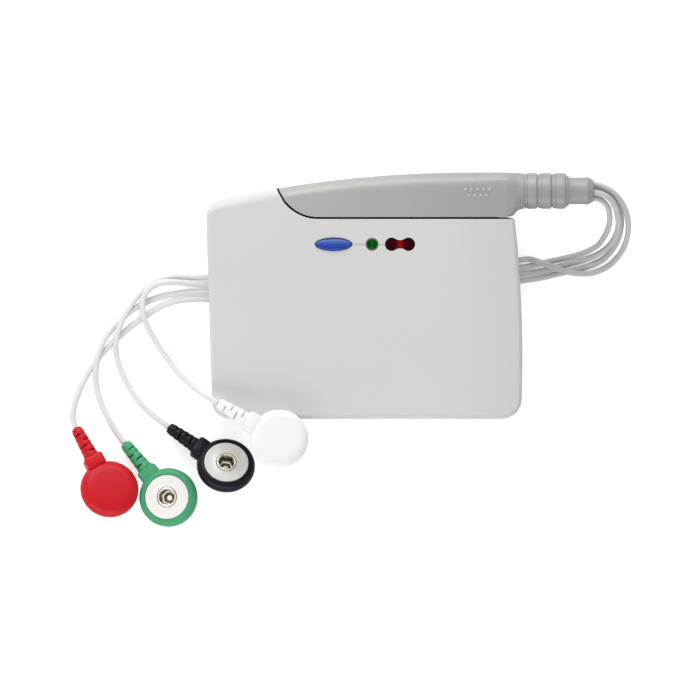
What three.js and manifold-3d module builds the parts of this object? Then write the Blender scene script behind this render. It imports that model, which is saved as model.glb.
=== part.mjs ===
// A pocket heart recorder lying on its back with its patient cable plugged in.
// Millimetres. X runs along the case towards the cable, Y across it towards the plug,
// Z from the table up to the front face. The origin is under the middle of case and plug.

import * as THREE from 'three';
import { mergeVertices } from 'three/addons/utils/BufferGeometryUtils.js';
import Module from 'manifold-3d';

const wasm = await Module();
wasm.setup();

// Case: outline seen from the front, then its thickness
const caseLeft = -52.4;
const leftLean = 1.85;
const caseRight = 33.1;
const caseBottom = -33.3;
const caseTop = 33.3;
const lowerCornerRadius = 5.1;
const shoulderRadius = 4.4;
const plugCornerRadius = 9;
const edgeBowRadius = 345;
const topStraightFrom = 22;
const sideBowCentre = -17;
const caseThickness = 20;
const wall = 1.8;
const partingHeight = 12.4;
const partingGap = 0.1;

// Rounding of the edges between the faces and the sides
const sideBevel = 1.2;
const topBevelAtShoulder = 3.0;
const topBevelGrowth = 0.0155;
const topBevelDepth = 4.0;
const leastBevel = 0.3;

// Seam between case and plug: a ledge that ends in a quarter round at the nose
const ledgeHeight = 21.0;
const ledgeStart = -22.1;
const noseRadius = 11.4;
const seamGap = 0.6;
const clearOfBody = 15;

// Seal on the ledge
const sealThickness = 0.36;
const sealInset = 0.5;
const sealEnd = 26.5;

// Plug behind its box end: neck, grip rings and ferrule round one cable axis
const plugWall = 1.6;
const plugBoxEnd = 28.8;
const plugOverrun = 14;
const cableAxisHeight = 28.3;
const cableAxisDepth = 16.6;
const neckEnd = 33.7;
const neckRadius = 4.75;
const ringRadius = 4.86;
const grooveRadius = 4.5;
const ringWidth = 3.38;
const grooveWidth = 0.45;
const ringCount = 3;
const sleeveBore = 2.9;
const ferruleRadius = 3.65;
const ferruleLength = 7.29;
const ferruleRecess = 1.6;
const dotRadius = 0.45;
const dotPitch = 1.6;
const dotRowFromEnd = 10.95;
const dotRowAboveAxis = 0.35;

// Plug connector: a tongue of contacts that enters the case behind the nose
const tongueThickness = 2.0;
const tongueWidth = 12;
const tongueReach = 3.0;
const tongueRootDepth = 4.1;
const tongueLow = ledgeHeight + 2.1;
const tongueHigh = tongueLow + tongueThickness;
const tongueTip = ledgeStart - noseRadius - tongueReach;
const tongueRoot = ledgeStart + tongueRootDepth;
const tongueClearance = 0.3;
const stripWidth = 0.8;
const stripLength = 4.5;
const stripPitch = 2.54;
const stripDepth = 0.5;
const stripInset = 0.8;
const leadCount = 4;
const socketWall = 1.2;
const socketBack = 2.5;
const socketLength = 6;
const socketGap = 0.3;

// Controls on the front face
const controlRow = 13.9;
const buttonX = -17.9;
const buttonLength = 10.1;
const buttonWidth = 3.5;
const buttonProud = 0.75;
const buttonTravel = 0.6;
const buttonClearance = 0.25;
const buttonFlange = 0.8;
const buttonStemRadius = 1.4;
const switchSize = 6;
const switchHeight = 2.6;
const plungerRadius = 0.9;
const plungerRise = 0.9;
const plungerDepth = 0.6;
const lensX = -7.5;
const lensRadius = 1.65;
const windowX = 0.05;
const windowHalfSpan = 2.28;
const windowEndRadius = 1.7;
const windowWaist = 1.0;
const lensClearance = 0.12;
const flangeGap = 0.3;
const flangeDepth = 1.2;
const flangeReach = 0.5;

// Circuit board
const boardLeft = -39.5;
const boardRight = 21;
const boardLow = -9.5;
const boardHigh = 17.2;
const boardTop = 14.2;
const boardThickness = 1.4;
const boardCorner = 2;
const supportRadius = 1.8;
const supportInset = 3;
const processorSize = 10;
const processorX = -19;
const processorHeight = 1.3;
const amplifierLength = 6;
const amplifierWidth = 9;
const amplifierX = -31;
const amplifierY = 7.5;
const amplifierHeight = 1.5;
const memoryLength = 12;
const memoryWidth = 8;
const memoryY = -2;
const memoryHeight = 1.1;
const cardLength = 15;
const cardWidth = 11;
const cardThickness = 1;
const cardX = 5.5;
const cardY = -0.5;
const cardShowing = 3;
const holderEnd = 1;
const holderSide = 1.2;
const holderFloor = 0.6;
const holderRoom = 0.5;

// Battery and its bay
const cellRadius = 7.25;
const cellLength = 50.5;
const cellEndRoom = 11.85;
const cellX = caseRight - cellEndRoom - cellLength / 2;
const cellY = -20.4;
const cellFloorGap = 1.3;
const bayEndGap = 2.2;
const bayWall = 1.5;
const bayWallReach = 4.6;
const bayWallRise = 3;
const leafThickness = 0.4;
const leafWidth = 5;
const doorMarginX = 0.6;
const doorInnerEdge = -12.2;
const doorRise = 6.6;
const doorGap = 0.3;
const doorTongueReach = 3;
const doorTongueWidth = 6;
const doorTongueInset = 9;
const doorTongueTop = 1.1;
const doorTongueRoot = 4;
const grooveLength = 12;
const grooveSize = 0.6;
const groovePitch = 1.6;
const grooveCount = 4;

// Feet and screws
const footStandoff = 2.4;
const footRadius = 3.5;
const footPocket = 0.6;
const footFloor = 0.2;
const screwHeadRadius = 2.1;
const screwHeadHeight = 1.5;
const screwShankRadius = 1.0;
const screwLength = 12;
const bossRadius = 3.2;
const bossInset = 6.2;
const bossUnderLedge = 6.0;

// Leads and snap ends
const leadDiameter = 1.6;
const leadSides = 8;
const snapRadius = 7.9;
const snapThickness = 5.2;
const snapCrown = 2.2;
const snapRim = 1.6;
const bootLength = 11.2;
const bootTipRadius = 1.4;
const bootRootRadius = 2.2;
const shoulderBlock = 5.4;
const slitWidth = 0.6;
const plateRadius = 6.0;
const plateThickness = 0.6;
const eyeletRadius = 2.65;
const studBore = 2.05;
const studDepth = 3.2;
const seat = 0.12;

const backFace = footStandoff;
const frontFace = footStandoff + caseThickness;
const innerBack = backFace + wall;
const innerFront = frontFace - wall;
const middleDepth = backFace + caseThickness / 2;

// Finishes
const finish = (color, roughness, metalness = 0) => new THREE.MeshStandardMaterial({ color, roughness, metalness });
const shellPlastic = finish(0xd4d4d2, 0.55);
const plugPlastic = finish(0xa9a8a5, 0.5);
const blackRubber = finish(0x17171a, 0.85);
const bluePlastic = finish(0x2a52c8, 0.25);
const greenLens = finish(0x0a6a14, 0.2);
const redWindow = finish(0x5c0a0c, 0.15);
const boardGreen = finish(0x1c5b34, 0.6);
const chipBlack = finish(0x1e1e20, 0.5);
const steel = finish(0xc4c6c8, 0.3, 1);
const gold = finish(0xd0a548, 0.3, 1);
const plateSilver = finish(0xe2e2de, 0.4, 0.6);
const cellSleeve = finish(0x3a4a5c, 0.4);
const leadJacket = finish(0xdedede, 0.45);
const snapColours = { white: 0xf4f4f4, black: 0x1b1b1e, green: 0x3fa573, red: 0xcf2130 };

const recorder = new THREE.Group();

function add(name, geometry, material, parent = recorder) {
  const mesh = new THREE.Mesh(geometry, material);
  mesh.name = name;
  parent.add(mesh);
  return mesh;
}

// Solids: closed geometry to and from the boolean library
function toSolid(geometry) {
  const bare = new THREE.BufferGeometry();
  bare.setAttribute('position', geometry.getAttribute('position').clone());
  if (geometry.index) bare.setIndex(geometry.index.clone());
  const merged = mergeVertices(bare, 1e-4);
  const triangles = [];
  for (let i = 0; i < merged.index.count; i += 3) {
    const [a, b, c] = merged.index.array.slice(i, i + 3);
    if (a !== b && b !== c && c !== a) triangles.push(a, b, c);
  }
  return new wasm.Manifold(new wasm.Mesh({
    numProp: 3,
    vertProperties: Float32Array.from(merged.getAttribute('position').array),
    triVerts: Uint32Array.from(triangles),
  }));
}

function toGeometry(solid) {
  const mesh = solid.getMesh();
  const geometry = new THREE.BufferGeometry();
  geometry.setAttribute('position', new THREE.BufferAttribute(mesh.vertProperties, 3));
  geometry.setIndex(new THREE.BufferAttribute(mesh.triVerts, 1));
  return geometry;
}

const asSolid = (shape) => (shape.isBufferGeometry ? toSolid(shape) : shape);
const join = (...shapes) => shapes.map(asSolid).reduce((sum, shape) => sum.add(shape));
const cut = (base, ...tools) => tools.map(asSolid).reduce((rest, tool) => rest.subtract(tool), asSolid(base));
const common = (a, b) => asSolid(a).intersect(asSolid(b));

function boxFrom(x0, x1, y0, y1, z0, z1) {
  const box = new THREE.BoxGeometry(x1 - x0, y1 - y0, z1 - z0);
  return box.translate((x0 + x1) / 2, (y0 + y1) / 2, (z0 + z1) / 2);
}

function post(x, y, z0, z1, radius, sides = 12) {
  const cylinder = new THREE.CylinderGeometry(radius, radius, z1 - z0, sides);
  return cylinder.rotateX(Math.PI / 2).translate(x, y, (z0 + z1) / 2);
}

function rod(x0, x1, y, z, radius, sides = 20) {
  const cylinder = new THREE.CylinderGeometry(radius, radius, x1 - x0, sides);
  return cylinder.rotateZ(Math.PI / 2).translate((x0 + x1) / 2, y, z);
}

function slab(shape, z0, z1, curveSegments = 8) {
  const options = { depth: z1 - z0, bevelEnabled: false, curveSegments };
  return new THREE.ExtrudeGeometry(shape, options).translate(0, 0, z0);
}

// Turns the faces of a closed geometry outwards
function outward(geometry) {
  const position = geometry.getAttribute('position');
  const index = geometry.index.array;
  const [a, b, c] = [new THREE.Vector3(), new THREE.Vector3(), new THREE.Vector3()];
  let volume = 0;
  for (let i = 0; i < index.length; i += 3) {
    a.fromBufferAttribute(position, index[i]);
    b.fromBufferAttribute(position, index[i + 1]);
    c.fromBufferAttribute(position, index[i + 2]);
    volume += a.dot(b.cross(c));
  }
  if (volume < 0) index.reverse();
  return geometry;
}

function revolve(profile, segments) {
  return new THREE.LatheGeometry(profile.map(([r, h]) => new THREE.Vector2(r, h)), segments);
}

// A skin over a stack of rings with equal counts, closed by flat caps. capPlane drops one axis for the caps.
function loft(rings, capPlane) {
  const count = rings[0].length;
  const positions = rings.flat().flatMap((point) => [point.x, point.y, point.z]);
  const faces = [];
  for (let ring = 0; ring < rings.length - 1; ring += 1) {
    for (let i = 0; i < count; i += 1) {
      const a = ring * count + i;
      const b = ring * count + ((i + 1) % count);
      faces.push(a, b, b + count, a, b + count, a + count);
    }
  }
  const top = (rings.length - 1) * count;
  for (const [a, b, c] of THREE.ShapeUtils.triangulateShape(rings[0].map(capPlane), [])) faces.push(c, b, a);
  for (const [a, b, c] of THREE.ShapeUtils.triangulateShape(rings.at(-1).map(capPlane), [])) {
    faces.push(top + a, top + b, top + c);
  }
  const geometry = new THREE.BufferGeometry();
  geometry.setAttribute('position', new THREE.Float32BufferAttribute(positions, 3));
  geometry.setIndex(faces);
  return geometry;
}

// Outline of case and plug together, anticlockwise: a rounded four-sided figure with a bowed top and right side
function bodyOutline(rightEdge) {
  const corners = [
    { x: caseLeft + leftLean, y: caseBottom, radius: lowerCornerRadius, steps: 1 },
    { x: rightEdge, y: caseBottom, radius: lowerCornerRadius, steps: 5 },
    { x: rightEdge, y: caseTop, radius: plugCornerRadius, steps: 9 },
    { x: caseLeft, y: caseTop, radius: shoulderRadius, steps: 2 },
  ];
  const points = [];
  corners.forEach((corner, index) => {
    const here = new THREE.Vector2(corner.x, corner.y);
    const before = corners[(index + 3) % 4];
    const after = corners[(index + 1) % 4];
    const back = new THREE.Vector2(before.x, before.y).sub(here).normalize();
    const onward = new THREE.Vector2(after.x, after.y).sub(here).normalize();
    const half = Math.acos(back.dot(onward)) / 2;
    const reach = corner.radius / Math.tan(half);
    const start = here.clone().addScaledVector(back, reach);
    const end = here.clone().addScaledVector(onward, reach);
    const bisector = back.clone().add(onward).normalize();
    const centre = here.clone().addScaledVector(bisector, corner.radius / Math.sin(half));
    const from = Math.atan2(start.y - centre.y, start.x - centre.x);
    let turn = Math.atan2(end.y - centre.y, end.x - centre.x) - from;
    if (turn < 0) turn += 2 * Math.PI;
    const arcSteps = 5;
    for (let i = 0; i <= arcSteps; i += 1) {
      const angle = from + (turn * i) / arcSteps;
      const spoke = new THREE.Vector2(Math.cos(angle), Math.sin(angle));
      points.push(centre.clone().addScaledVector(spoke, corner.radius));
    }
    const edgeEnd = new THREE.Vector2(after.x, after.y).addScaledVector(onward, -after.radius);
    for (let i = 1; i < corner.steps; i += 1) {
      points.push(end.clone().lerp(edgeEnd, i / corner.steps));
    }
  });
  return points.map(({ x, y }) => {
    const up = THREE.MathUtils.clamp((y - caseBottom) / (caseTop - caseBottom), 0, 1);
    const right = THREE.MathUtils.clamp((x - caseLeft) / (caseRight - caseLeft), 0, 1);
    const topSag = x < topStraightFrom ? (x - topStraightFrom) ** 2 / (2 * edgeBowRadius) : 0;
    const sideSag = (y - sideBowCentre) ** 2 / (2 * edgeBowRadius);
    return new THREE.Vector2(x - right * sideSag, y - up * topSag);
  });
}

// The body between two heights, with its edges rounded at the front or the back. inset shrinks it all round.
function bodySolid({ rightEdge, inset, low, high, roundBack, roundFront }) {
  const outline = bodyOutline(rightEdge);
  const count = outline.length;
  const edges = outline.map((point, i) => {
    const before = outline[(i + count - 1) % count];
    const after = outline[(i + 1) % count];
    const along = after.clone().sub(before).normalize();
    const inward = new THREE.Vector2(-along.y, along.x);
    const facesTop = THREE.MathUtils.smoothstep(-inward.y, 0.3, 0.95);
    const topWidth = topBevelAtShoulder + (point.x - caseLeft) * topBevelGrowth;
    const width = Math.max(THREE.MathUtils.lerp(sideBevel, topWidth, facesTop) - inset, leastBevel);
    const depth = Math.max(THREE.MathUtils.lerp(sideBevel, topBevelDepth, facesTop) - inset, leastBevel);
    return { point, inward, width, depth };
  });
  const ringAt = (angle, level, side) => edges.map(({ point, inward, width, depth }) => {
    const shrink = inset + width * (1 - Math.cos(angle));
    const z = level - side * depth * (1 - Math.sin(angle));
    return new THREE.Vector3(point.x + inward.x * shrink, point.y + inward.y * shrink, z);
  });
  const bevelSteps = inset > 0 ? 2 : 3;
  const angles = Array.from({ length: bevelSteps + 1 }, (_, i) => (i / bevelSteps) * (Math.PI / 2));
  const rings = [];
  if (roundBack) rings.push(...angles.toReversed().map((angle) => ringAt(angle, low, -1)));
  else rings.push(ringAt(0, low, 0));
  if (roundFront) rings.push(...angles.map((angle) => ringAt(angle, high, 1)));
  else rings.push(ringAt(0, high, 0));
  return toSolid(loft(rings, (point) => new THREE.Vector2(point.x, point.y)));
}

// The space above the seam line, moved towards the plug by offset
function plugRegion(offset, x1 = caseRight + clearOfBody) {
  const radius = noseRadius - offset;
  const centreY = ledgeHeight + noseRadius;
  const far = centreY + clearOfBody;
  const shape = new THREE.Shape();
  shape.moveTo(ledgeStart, centreY - radius);
  shape.lineTo(x1, centreY - radius);
  shape.lineTo(x1, far);
  shape.lineTo(ledgeStart - radius, far);
  shape.lineTo(ledgeStart - radius, centreY);
  shape.absarc(ledgeStart, centreY, radius, Math.PI, 1.5 * Math.PI, false);
  return toSolid(slab(shape, backFace - clearOfBody, frontFace + clearOfBody, 10));
}

const stretched = (inset, rightEdge = caseRight) => bodySolid({
  rightEdge, inset, low: backFace + inset, high: frontFace - inset, roundBack: true, roundFront: true,
});
const everywhere = 120;
const above = (z) => boxFrom(-everywhere, everywhere, -everywhere, everywhere, z, everywhere);
const below = (z) => boxFrom(-everywhere, everywhere, -everywhere, everywhere, -everywhere, z);

// Case shells: one body, cut at the seam, hollowed, then parted at mid depth
const caseBody = cut(stretched(0), plugRegion(-seamGap / 2));
const caseHollow = cut(stretched(wall), plugRegion(-seamGap / 2 - wall));
const caseShell = cut(caseBody, caseHollow);

// Screw bosses stand at the corners of the case. The feet sit in pockets over the screws.
const bossPlaces = [
  [caseLeft + leftLean + bossInset, caseBottom + bossInset],
  [caseRight - bossInset, caseBottom + bossInset],
  [caseLeft + bossInset, ledgeHeight - bossUnderLedge],
  [caseRight - bossInset, ledgeHeight - bossUnderLedge],
];
const screwHeadBottom = backFace + footPocket + footFloor;
const screwTop = screwHeadBottom + screwHeadHeight + screwLength;

const frontBosses = bossPlaces.map(([x, y]) => cut(
  post(x, y, partingHeight + partingGap, innerFront + 0.5, bossRadius - 0.5),
  post(x, y, partingHeight - 1, screwTop + 0.5, screwShankRadius + seat, 12),
));
const rearBosses = bossPlaces.map(([x, y]) => post(x, y, innerBack - 0.5, partingHeight - partingGap, bossRadius));
const rearBossCuts = bossPlaces.flatMap(([x, y]) => [
  post(x, y, backFace - 1, backFace + footPocket, footRadius + seat, 20),
  post(x, y, backFace, screwHeadBottom + screwHeadHeight + seat, screwHeadRadius + seat),
  post(x, y, backFace, partingHeight + 1, screwShankRadius + seat, 12),
]);

// Openings in the front face for the button, the lens and the infrared window
function ellipseShape(length, width) {
  return new THREE.Shape().absellipse(0, 0, length / 2, width / 2, 0, 2 * Math.PI, false);
}

function dogBoneShape(grow) {
  const radius = windowEndRadius + grow;
  const waist = windowWaist + grow;
  const neckAngle = THREE.MathUtils.degToRad(48);
  const neckX = windowHalfSpan - radius * Math.cos(neckAngle);
  const neckY = radius * Math.sin(neckAngle);
  const shape = new THREE.Shape();
  shape.moveTo(-neckX, -neckY);
  shape.quadraticCurveTo(0, -2 * waist + neckY, neckX, -neckY);
  shape.absarc(windowHalfSpan, 0, radius, Math.PI + neckAngle, Math.PI - neckAngle + 2 * Math.PI, false);
  shape.quadraticCurveTo(0, 2 * waist - neckY, -neckX, neckY);
  shape.absarc(-windowHalfSpan, 0, radius, neckAngle, 2 * Math.PI - neckAngle, false);
  return shape;
}

const through = [innerFront - 1, frontFace + 1];
const buttonHole = slab(
  ellipseShape(buttonLength + 2 * buttonClearance, buttonWidth + 2 * buttonClearance), ...through, 12,
).translate(buttonX, controlRow, 0);
const lensHole = post(lensX, controlRow, ...through, lensRadius + lensClearance);
const windowHole = slab(dogBoneShape(lensClearance), ...through, 6).translate(windowX, controlRow, 0);

// Aperture in the nose wall for the plug's tongue
const tongueSpan = [middleDepth - tongueWidth / 2, middleDepth + tongueWidth / 2];
const aperture = boxFrom(
  tongueTip - tongueClearance, ledgeStart + 1, tongueLow - tongueClearance, tongueHigh + tongueClearance,
  tongueSpan[0] - tongueClearance, tongueSpan[1] + tongueClearance,
);

const frontShell = cut(
  join(common(caseShell, above(partingHeight + partingGap)), ...frontBosses),
  buttonHole, lensHole, windowHole, aperture,
);
add('front_shell', toGeometry(frontShell), shellPlastic);

// Battery bay in the rear shell, closed by a door that wraps round the lower side
const cellZ = innerBack + cellFloorGap + cellRadius;
const bayLeft = cellX - cellLength / 2 - bayEndGap;
const bayRight = cellX + cellLength / 2 + bayEndGap;
const doorLeft = cellX - cellLength / 2 - doorMarginX;
const doorRight = cellX + cellLength / 2 + doorMarginX;
const doorTop = backFace + doorRise;
const intoWall = wall / 4;
const bayWalls = [bayLeft - bayWall, bayRight].map((x) => boxFrom(
  x, x + bayWall, cellY - bayWallReach, doorInnerEdge + intoWall, innerBack - intoWall, cellZ + bayWallRise,
));
const boardPosts = [boardLeft + supportInset, boardRight - supportInset].flatMap(
  (x) => [boardLow + supportInset, boardHigh - supportInset].map(
    (y) => post(x, y, innerBack - intoWall, boardTop - boardThickness - seat, supportRadius, 12),
  ),
);
const doorSpace = (grow) => boxFrom(
  doorLeft - grow, doorRight + grow, caseBottom - clearOfBody, doorInnerEdge + grow,
  backFace - wall, doorTop + grow,
);
const rearHull = common(caseShell, below(partingHeight - partingGap));
const rearShell = cut(
  join(cut(rearHull, doorSpace(doorGap)), ...rearBosses, ...bayWalls, ...boardPosts),
  ...rearBossCuts, aperture,
);
add('rear_shell', toGeometry(rearShell), shellPlastic);

const doorGroup = new THREE.Group();
recorder.add(doorGroup);
const doorTongues = [doorLeft + doorTongueInset, doorRight - doorTongueInset].map((x) => {
  const [x0, x1] = [x - doorTongueWidth / 2, x + doorTongueWidth / 2];
  const edge = doorInnerEdge - intoWall;
  const top = innerBack + doorTongueTop;
  return join(
    boxFrom(x0, x1, doorInnerEdge - doorTongueRoot, edge, innerBack - intoWall, top),
    boxFrom(x0, x1, edge - intoWall, doorInnerEdge + doorTongueReach, innerBack + doorGap, top),
  );
});
const thumbGrooves = Array.from({ length: grooveCount }, (_, i) => rod(
  cellX - grooveLength / 2, cellX + grooveLength / 2, doorInnerEdge - (i + 1.5) * groovePitch,
  backFace - grooveSize / 4, grooveSize, 8,
));
const batteryDoor = cut(join(common(caseShell, doorSpace(0)), ...doorTongues), ...thumbGrooves);
add('battery_door', toGeometry(batteryDoor), shellPlastic, doorGroup);

// Battery cell: sleeve with a shoulder and a positive button
const cellProfile = [
  [0, -cellLength / 2], [cellRadius - 0.5, -cellLength / 2], [cellRadius, -cellLength / 2 + 0.5],
  [cellRadius, cellLength / 2 - 2], [cellRadius - 0.8, cellLength / 2 - 1.4], [2.75, cellLength / 2 - 1.2],
  [2.75, cellLength / 2], [0, cellLength / 2],
];
add('battery_cell', revolve(cellProfile, 20).rotateZ(-Math.PI / 2).translate(cellX, cellY, cellZ), cellSleeve);

// Bent leaf contacts at both ends of the bay
function leafContact(x, side) {
  const reach = bayEndGap - 2 * seat;
  const metal = leafThickness;
  const outline = [
    [0, -10 * metal], [metal, -10 * metal], [metal, 6 * metal], [reach - metal, metal / 4],
    [reach - metal, -2 * metal], [reach, -2 * metal], [reach, 0.75 * metal], [metal, 7.5 * metal],
    [metal, 12 * metal], [0, 12 * metal],
  ];
  const shape = new THREE.Shape(outline.map(([across, up]) => new THREE.Vector2(across, up)));
  const leaf = slab(shape, -leafWidth / 2, leafWidth / 2).rotateX(Math.PI / 2);
  if (side < 0) leaf.rotateZ(Math.PI);
  return leaf.translate(x + side * seat, cellY, cellZ);
}
add('battery_contact_negative', leafContact(bayLeft, 1), steel);
add('battery_contact_positive', leafContact(bayRight, -1), steel);

// Circuit board and what is soldered to it
function roundedRectangle(x0, x1, y0, y1, radius) {
  const shape = new THREE.Shape();
  shape.moveTo(x0 + radius, y0);
  shape.lineTo(x1 - radius, y0);
  shape.absarc(x1 - radius, y0 + radius, radius, -Math.PI / 2, 0, false);
  shape.lineTo(x1, y1 - radius);
  shape.absarc(x1 - radius, y1 - radius, radius, 0, Math.PI / 2, false);
  shape.lineTo(x0 + radius, y1);
  shape.absarc(x0 + radius, y1 - radius, radius, Math.PI / 2, Math.PI, false);
  shape.lineTo(x0, y0 + radius);
  shape.absarc(x0 + radius, y0 + radius, radius, Math.PI, 1.5 * Math.PI, false);
  return shape;
}
const boardBottom = boardTop - boardThickness;
const boardShape = roundedRectangle(boardLeft, boardRight, boardLow, boardHigh, boardCorner);
add('main_board', slab(boardShape, boardBottom, boardTop, 3), boardGreen);
const onBoard = boardTop + seat;
function chip(x, y, length, width, height) {
  return boxFrom(x - length / 2, x + length / 2, y - width / 2, y + width / 2, onBoard, onBoard + height);
}
add('processor_chip', chip(processorX, 0, processorSize, processorSize, processorHeight), chipBlack);
add('amplifier_chip', chip(amplifierX, amplifierY, amplifierLength, amplifierWidth, amplifierHeight), chipBlack);
add('memory_chip', chip(0, memoryY, memoryLength, memoryWidth, memoryHeight), chipBlack);

// Memory card in its holder on the back of the board
const [cardStart, cardEnd] = [cardX - cardLength / 2, cardX + cardLength / 2];
const [cardLow, cardHigh] = [cardY - cardWidth / 2, cardY + cardWidth / 2];
const cardTop = boardBottom - seat - holderRoom;
const cardBottom = cardTop - cardThickness;
const cardHolder = cut(
  boxFrom(
    cardStart - holderEnd, cardEnd - cardShowing, cardLow - holderSide, cardHigh + holderSide,
    cardBottom - holderFloor, boardBottom - seat,
  ),
  boxFrom(cardStart - seat, cardEnd, cardLow - seat, cardHigh + seat, cardBottom - seat, cardTop + seat),
);
add('card_holder', toGeometry(cardHolder), steel);
add('memory_card', boxFrom(cardStart, cardEnd, cardLow, cardHigh, cardBottom, cardTop), chipBlack);

// Event button: domed cap with a flange behind the face, standing on the switch plunger
const buttonGroup = new THREE.Group();
recorder.add(buttonGroup);
const flangeTop = innerFront - flangeGap;
const switchTop = onBoard + switchHeight;
function domedOval() {
  const sides = 22;
  const levels = [
    [1.0, flangeTop - 0.4], [1.0, frontFace + 0.1], [0.93, frontFace + 0.4], [0.75, frontFace + 0.6],
    [0.4, frontFace + buttonProud],
  ];
  const rings = levels.map(([scale, z]) => Array.from({ length: sides }, (_, i) => {
    const angle = (i / sides) * 2 * Math.PI;
    const shrink = (1 - scale) * (buttonWidth / 2);
    return new THREE.Vector3(
      (buttonLength / 2 - shrink * 1.6) * Math.cos(angle), (buttonWidth / 2 - shrink) * Math.sin(angle), z,
    );
  }));
  return loft(rings, (point) => new THREE.Vector2(point.x, point.y)).translate(buttonX, controlRow, 0);
}
const plungerTop = switchTop + plungerRise;
const buttonCap = join(
  domedOval(),
  slab(
    ellipseShape(buttonLength + 2 * buttonFlange, buttonWidth + 2 * buttonFlange),
    flangeTop - buttonFlange, flangeTop, 9,
  ).translate(buttonX, controlRow, 0),
  post(buttonX, controlRow, plungerTop + seat, flangeTop - buttonFlange / 2, buttonStemRadius),
);
add('event_button', toGeometry(buttonCap), bluePlastic, buttonGroup);
const plungerFoot = switchTop - plungerDepth;
const plunger = post(buttonX, controlRow, plungerFoot, plungerTop, plungerRadius, 12);
add('switch_plunger', plunger, chipBlack, buttonGroup);
const switchBody = cut(
  boxFrom(
    buttonX - switchSize / 2, buttonX + switchSize / 2, controlRow - switchSize / 2, controlRow + switchSize / 2,
    onBoard, switchTop,
  ),
  post(
    buttonX, controlRow, plungerFoot - buttonTravel - flangeGap, switchTop + plungerRise, plungerRadius + seat, 12,
  ),
);
add('switch_body', toGeometry(switchBody), chipBlack);

// Status light: lens in the face, light emitter below it on the board
const lensProfile = [
  [0, innerFront - flangeDepth], [lensRadius + flangeReach, innerFront - flangeDepth],
  [lensRadius + flangeReach, innerFront - flangeGap], [lensRadius, innerFront - flangeGap],
  [lensRadius, frontFace - 0.1], [lensRadius - 0.35, frontFace + 0.1], [lensRadius - 0.5, frontFace - 0.05],
  [lensRadius * 0.35, frontFace + 0.12], [0, frontFace + 0.15],
];
add('status_lens', revolve(lensProfile, 14).rotateX(Math.PI / 2).translate(lensX, controlRow, 0), greenLens);
function emitter(x, radius) {
  const top = innerFront - flangeDepth - seat;
  const collar = radius * 1.25;
  const profile = [
    [0, onBoard], [collar, onBoard], [collar, onBoard + radius * 0.6], [radius, onBoard + radius * 0.6],
    [radius, top - radius * 0.8], [radius * 0.8, top - radius * 0.3], [0, top],
  ];
  return revolve(profile, 12).rotateX(Math.PI / 2).translate(x, controlRow, 0);
}
add('status_led', emitter(lensX, lensRadius * 0.8), greenLens);

// Infrared window and the emitter and receiver behind its two ends
const windowFlange = windowEndRadius + flangeReach + lensClearance;
const windowPlate = join(
  slab(dogBoneShape(0), innerFront - flangeDepth / 2, frontFace - lensClearance, 6),
  slab(
    roundedRectangle(
      -windowHalfSpan - windowFlange, windowHalfSpan + windowFlange, -windowFlange, windowFlange, windowFlange / 3,
    ),
    innerFront - flangeDepth, innerFront - flangeGap, 3,
  ),
).translate(windowX, controlRow, 0);
add('infrared_window', toGeometry(windowPlate), redWindow);
const emitterRadius = windowEndRadius * 0.7;
add('infrared_emitter', emitter(windowX - windowHalfSpan, emitterRadius), chipBlack);
add('infrared_receiver', emitter(windowX + windowHalfSpan, emitterRadius), chipBlack);

// Socket behind the nose: a box of insulation round the tongue's space, with the contact block at its end
const socketBlock = cut(
  common(
    boxFrom(
      tongueTip - socketBack, tongueTip + socketLength,
      tongueLow - tongueClearance - socketWall, tongueHigh + tongueClearance + socketWall,
      tongueSpan[0] - tongueClearance - socketWall, tongueSpan[1] + tongueClearance + socketWall,
    ),
    cut(stretched(wall + socketGap), plugRegion(-seamGap / 2 - wall - socketGap)),
  ),
  boxFrom(
    tongueTip - tongueClearance, tongueTip + socketLength + socketBack,
    tongueLow - tongueClearance, tongueHigh + tongueClearance,
    tongueSpan[0] - tongueClearance, tongueSpan[1] + tongueClearance,
  ),
);
add('patient_socket', toGeometry(socketBlock), chipBlack);

// Screws and feet
bossPlaces.forEach(([x, y], index) => {
  const screwProfile = [
    [0, screwHeadBottom], [screwHeadRadius, screwHeadBottom], [screwHeadRadius, screwHeadBottom + 0.6],
    [screwShankRadius, screwHeadBottom + screwHeadHeight], [screwShankRadius, screwTop - 1], [0, screwTop],
  ];
  add(`case_screw_${index + 1}`, revolve(screwProfile, 10).rotateX(Math.PI / 2).translate(x, y, 0), steel);
  const footProfile = [
    [0, 0], [footRadius - 0.6, 0], [footRadius, 0.8],
    [footRadius, backFace + footPocket - seat], [0, backFace + footPocket - seat],
  ];
  add(`foot_${index + 1}`, revolve(footProfile, 20).rotateX(Math.PI / 2).translate(x, y, 0), blackRubber);
});

// Seal: a strip along the ledge and round the nose
const sealLow = -seamGap / 2 + (seamGap - sealThickness) / 2;
const sealBand = cut(
  plugRegion(sealLow, sealEnd),
  plugRegion(sealLow + sealThickness),
  above(frontFace - sealInset),
  below(backFace + sealInset),
  boxFrom(-everywhere, ledgeStart, tongueLow - 2 * tongueClearance, tongueHigh + 2 * tongueClearance,
    tongueSpan[0] - 2 * tongueClearance, tongueSpan[1] + 2 * tongueClearance),
);
add('plug_seal', toGeometry(common(sealBand, stretched(sealInset))), blackRubber);

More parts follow.
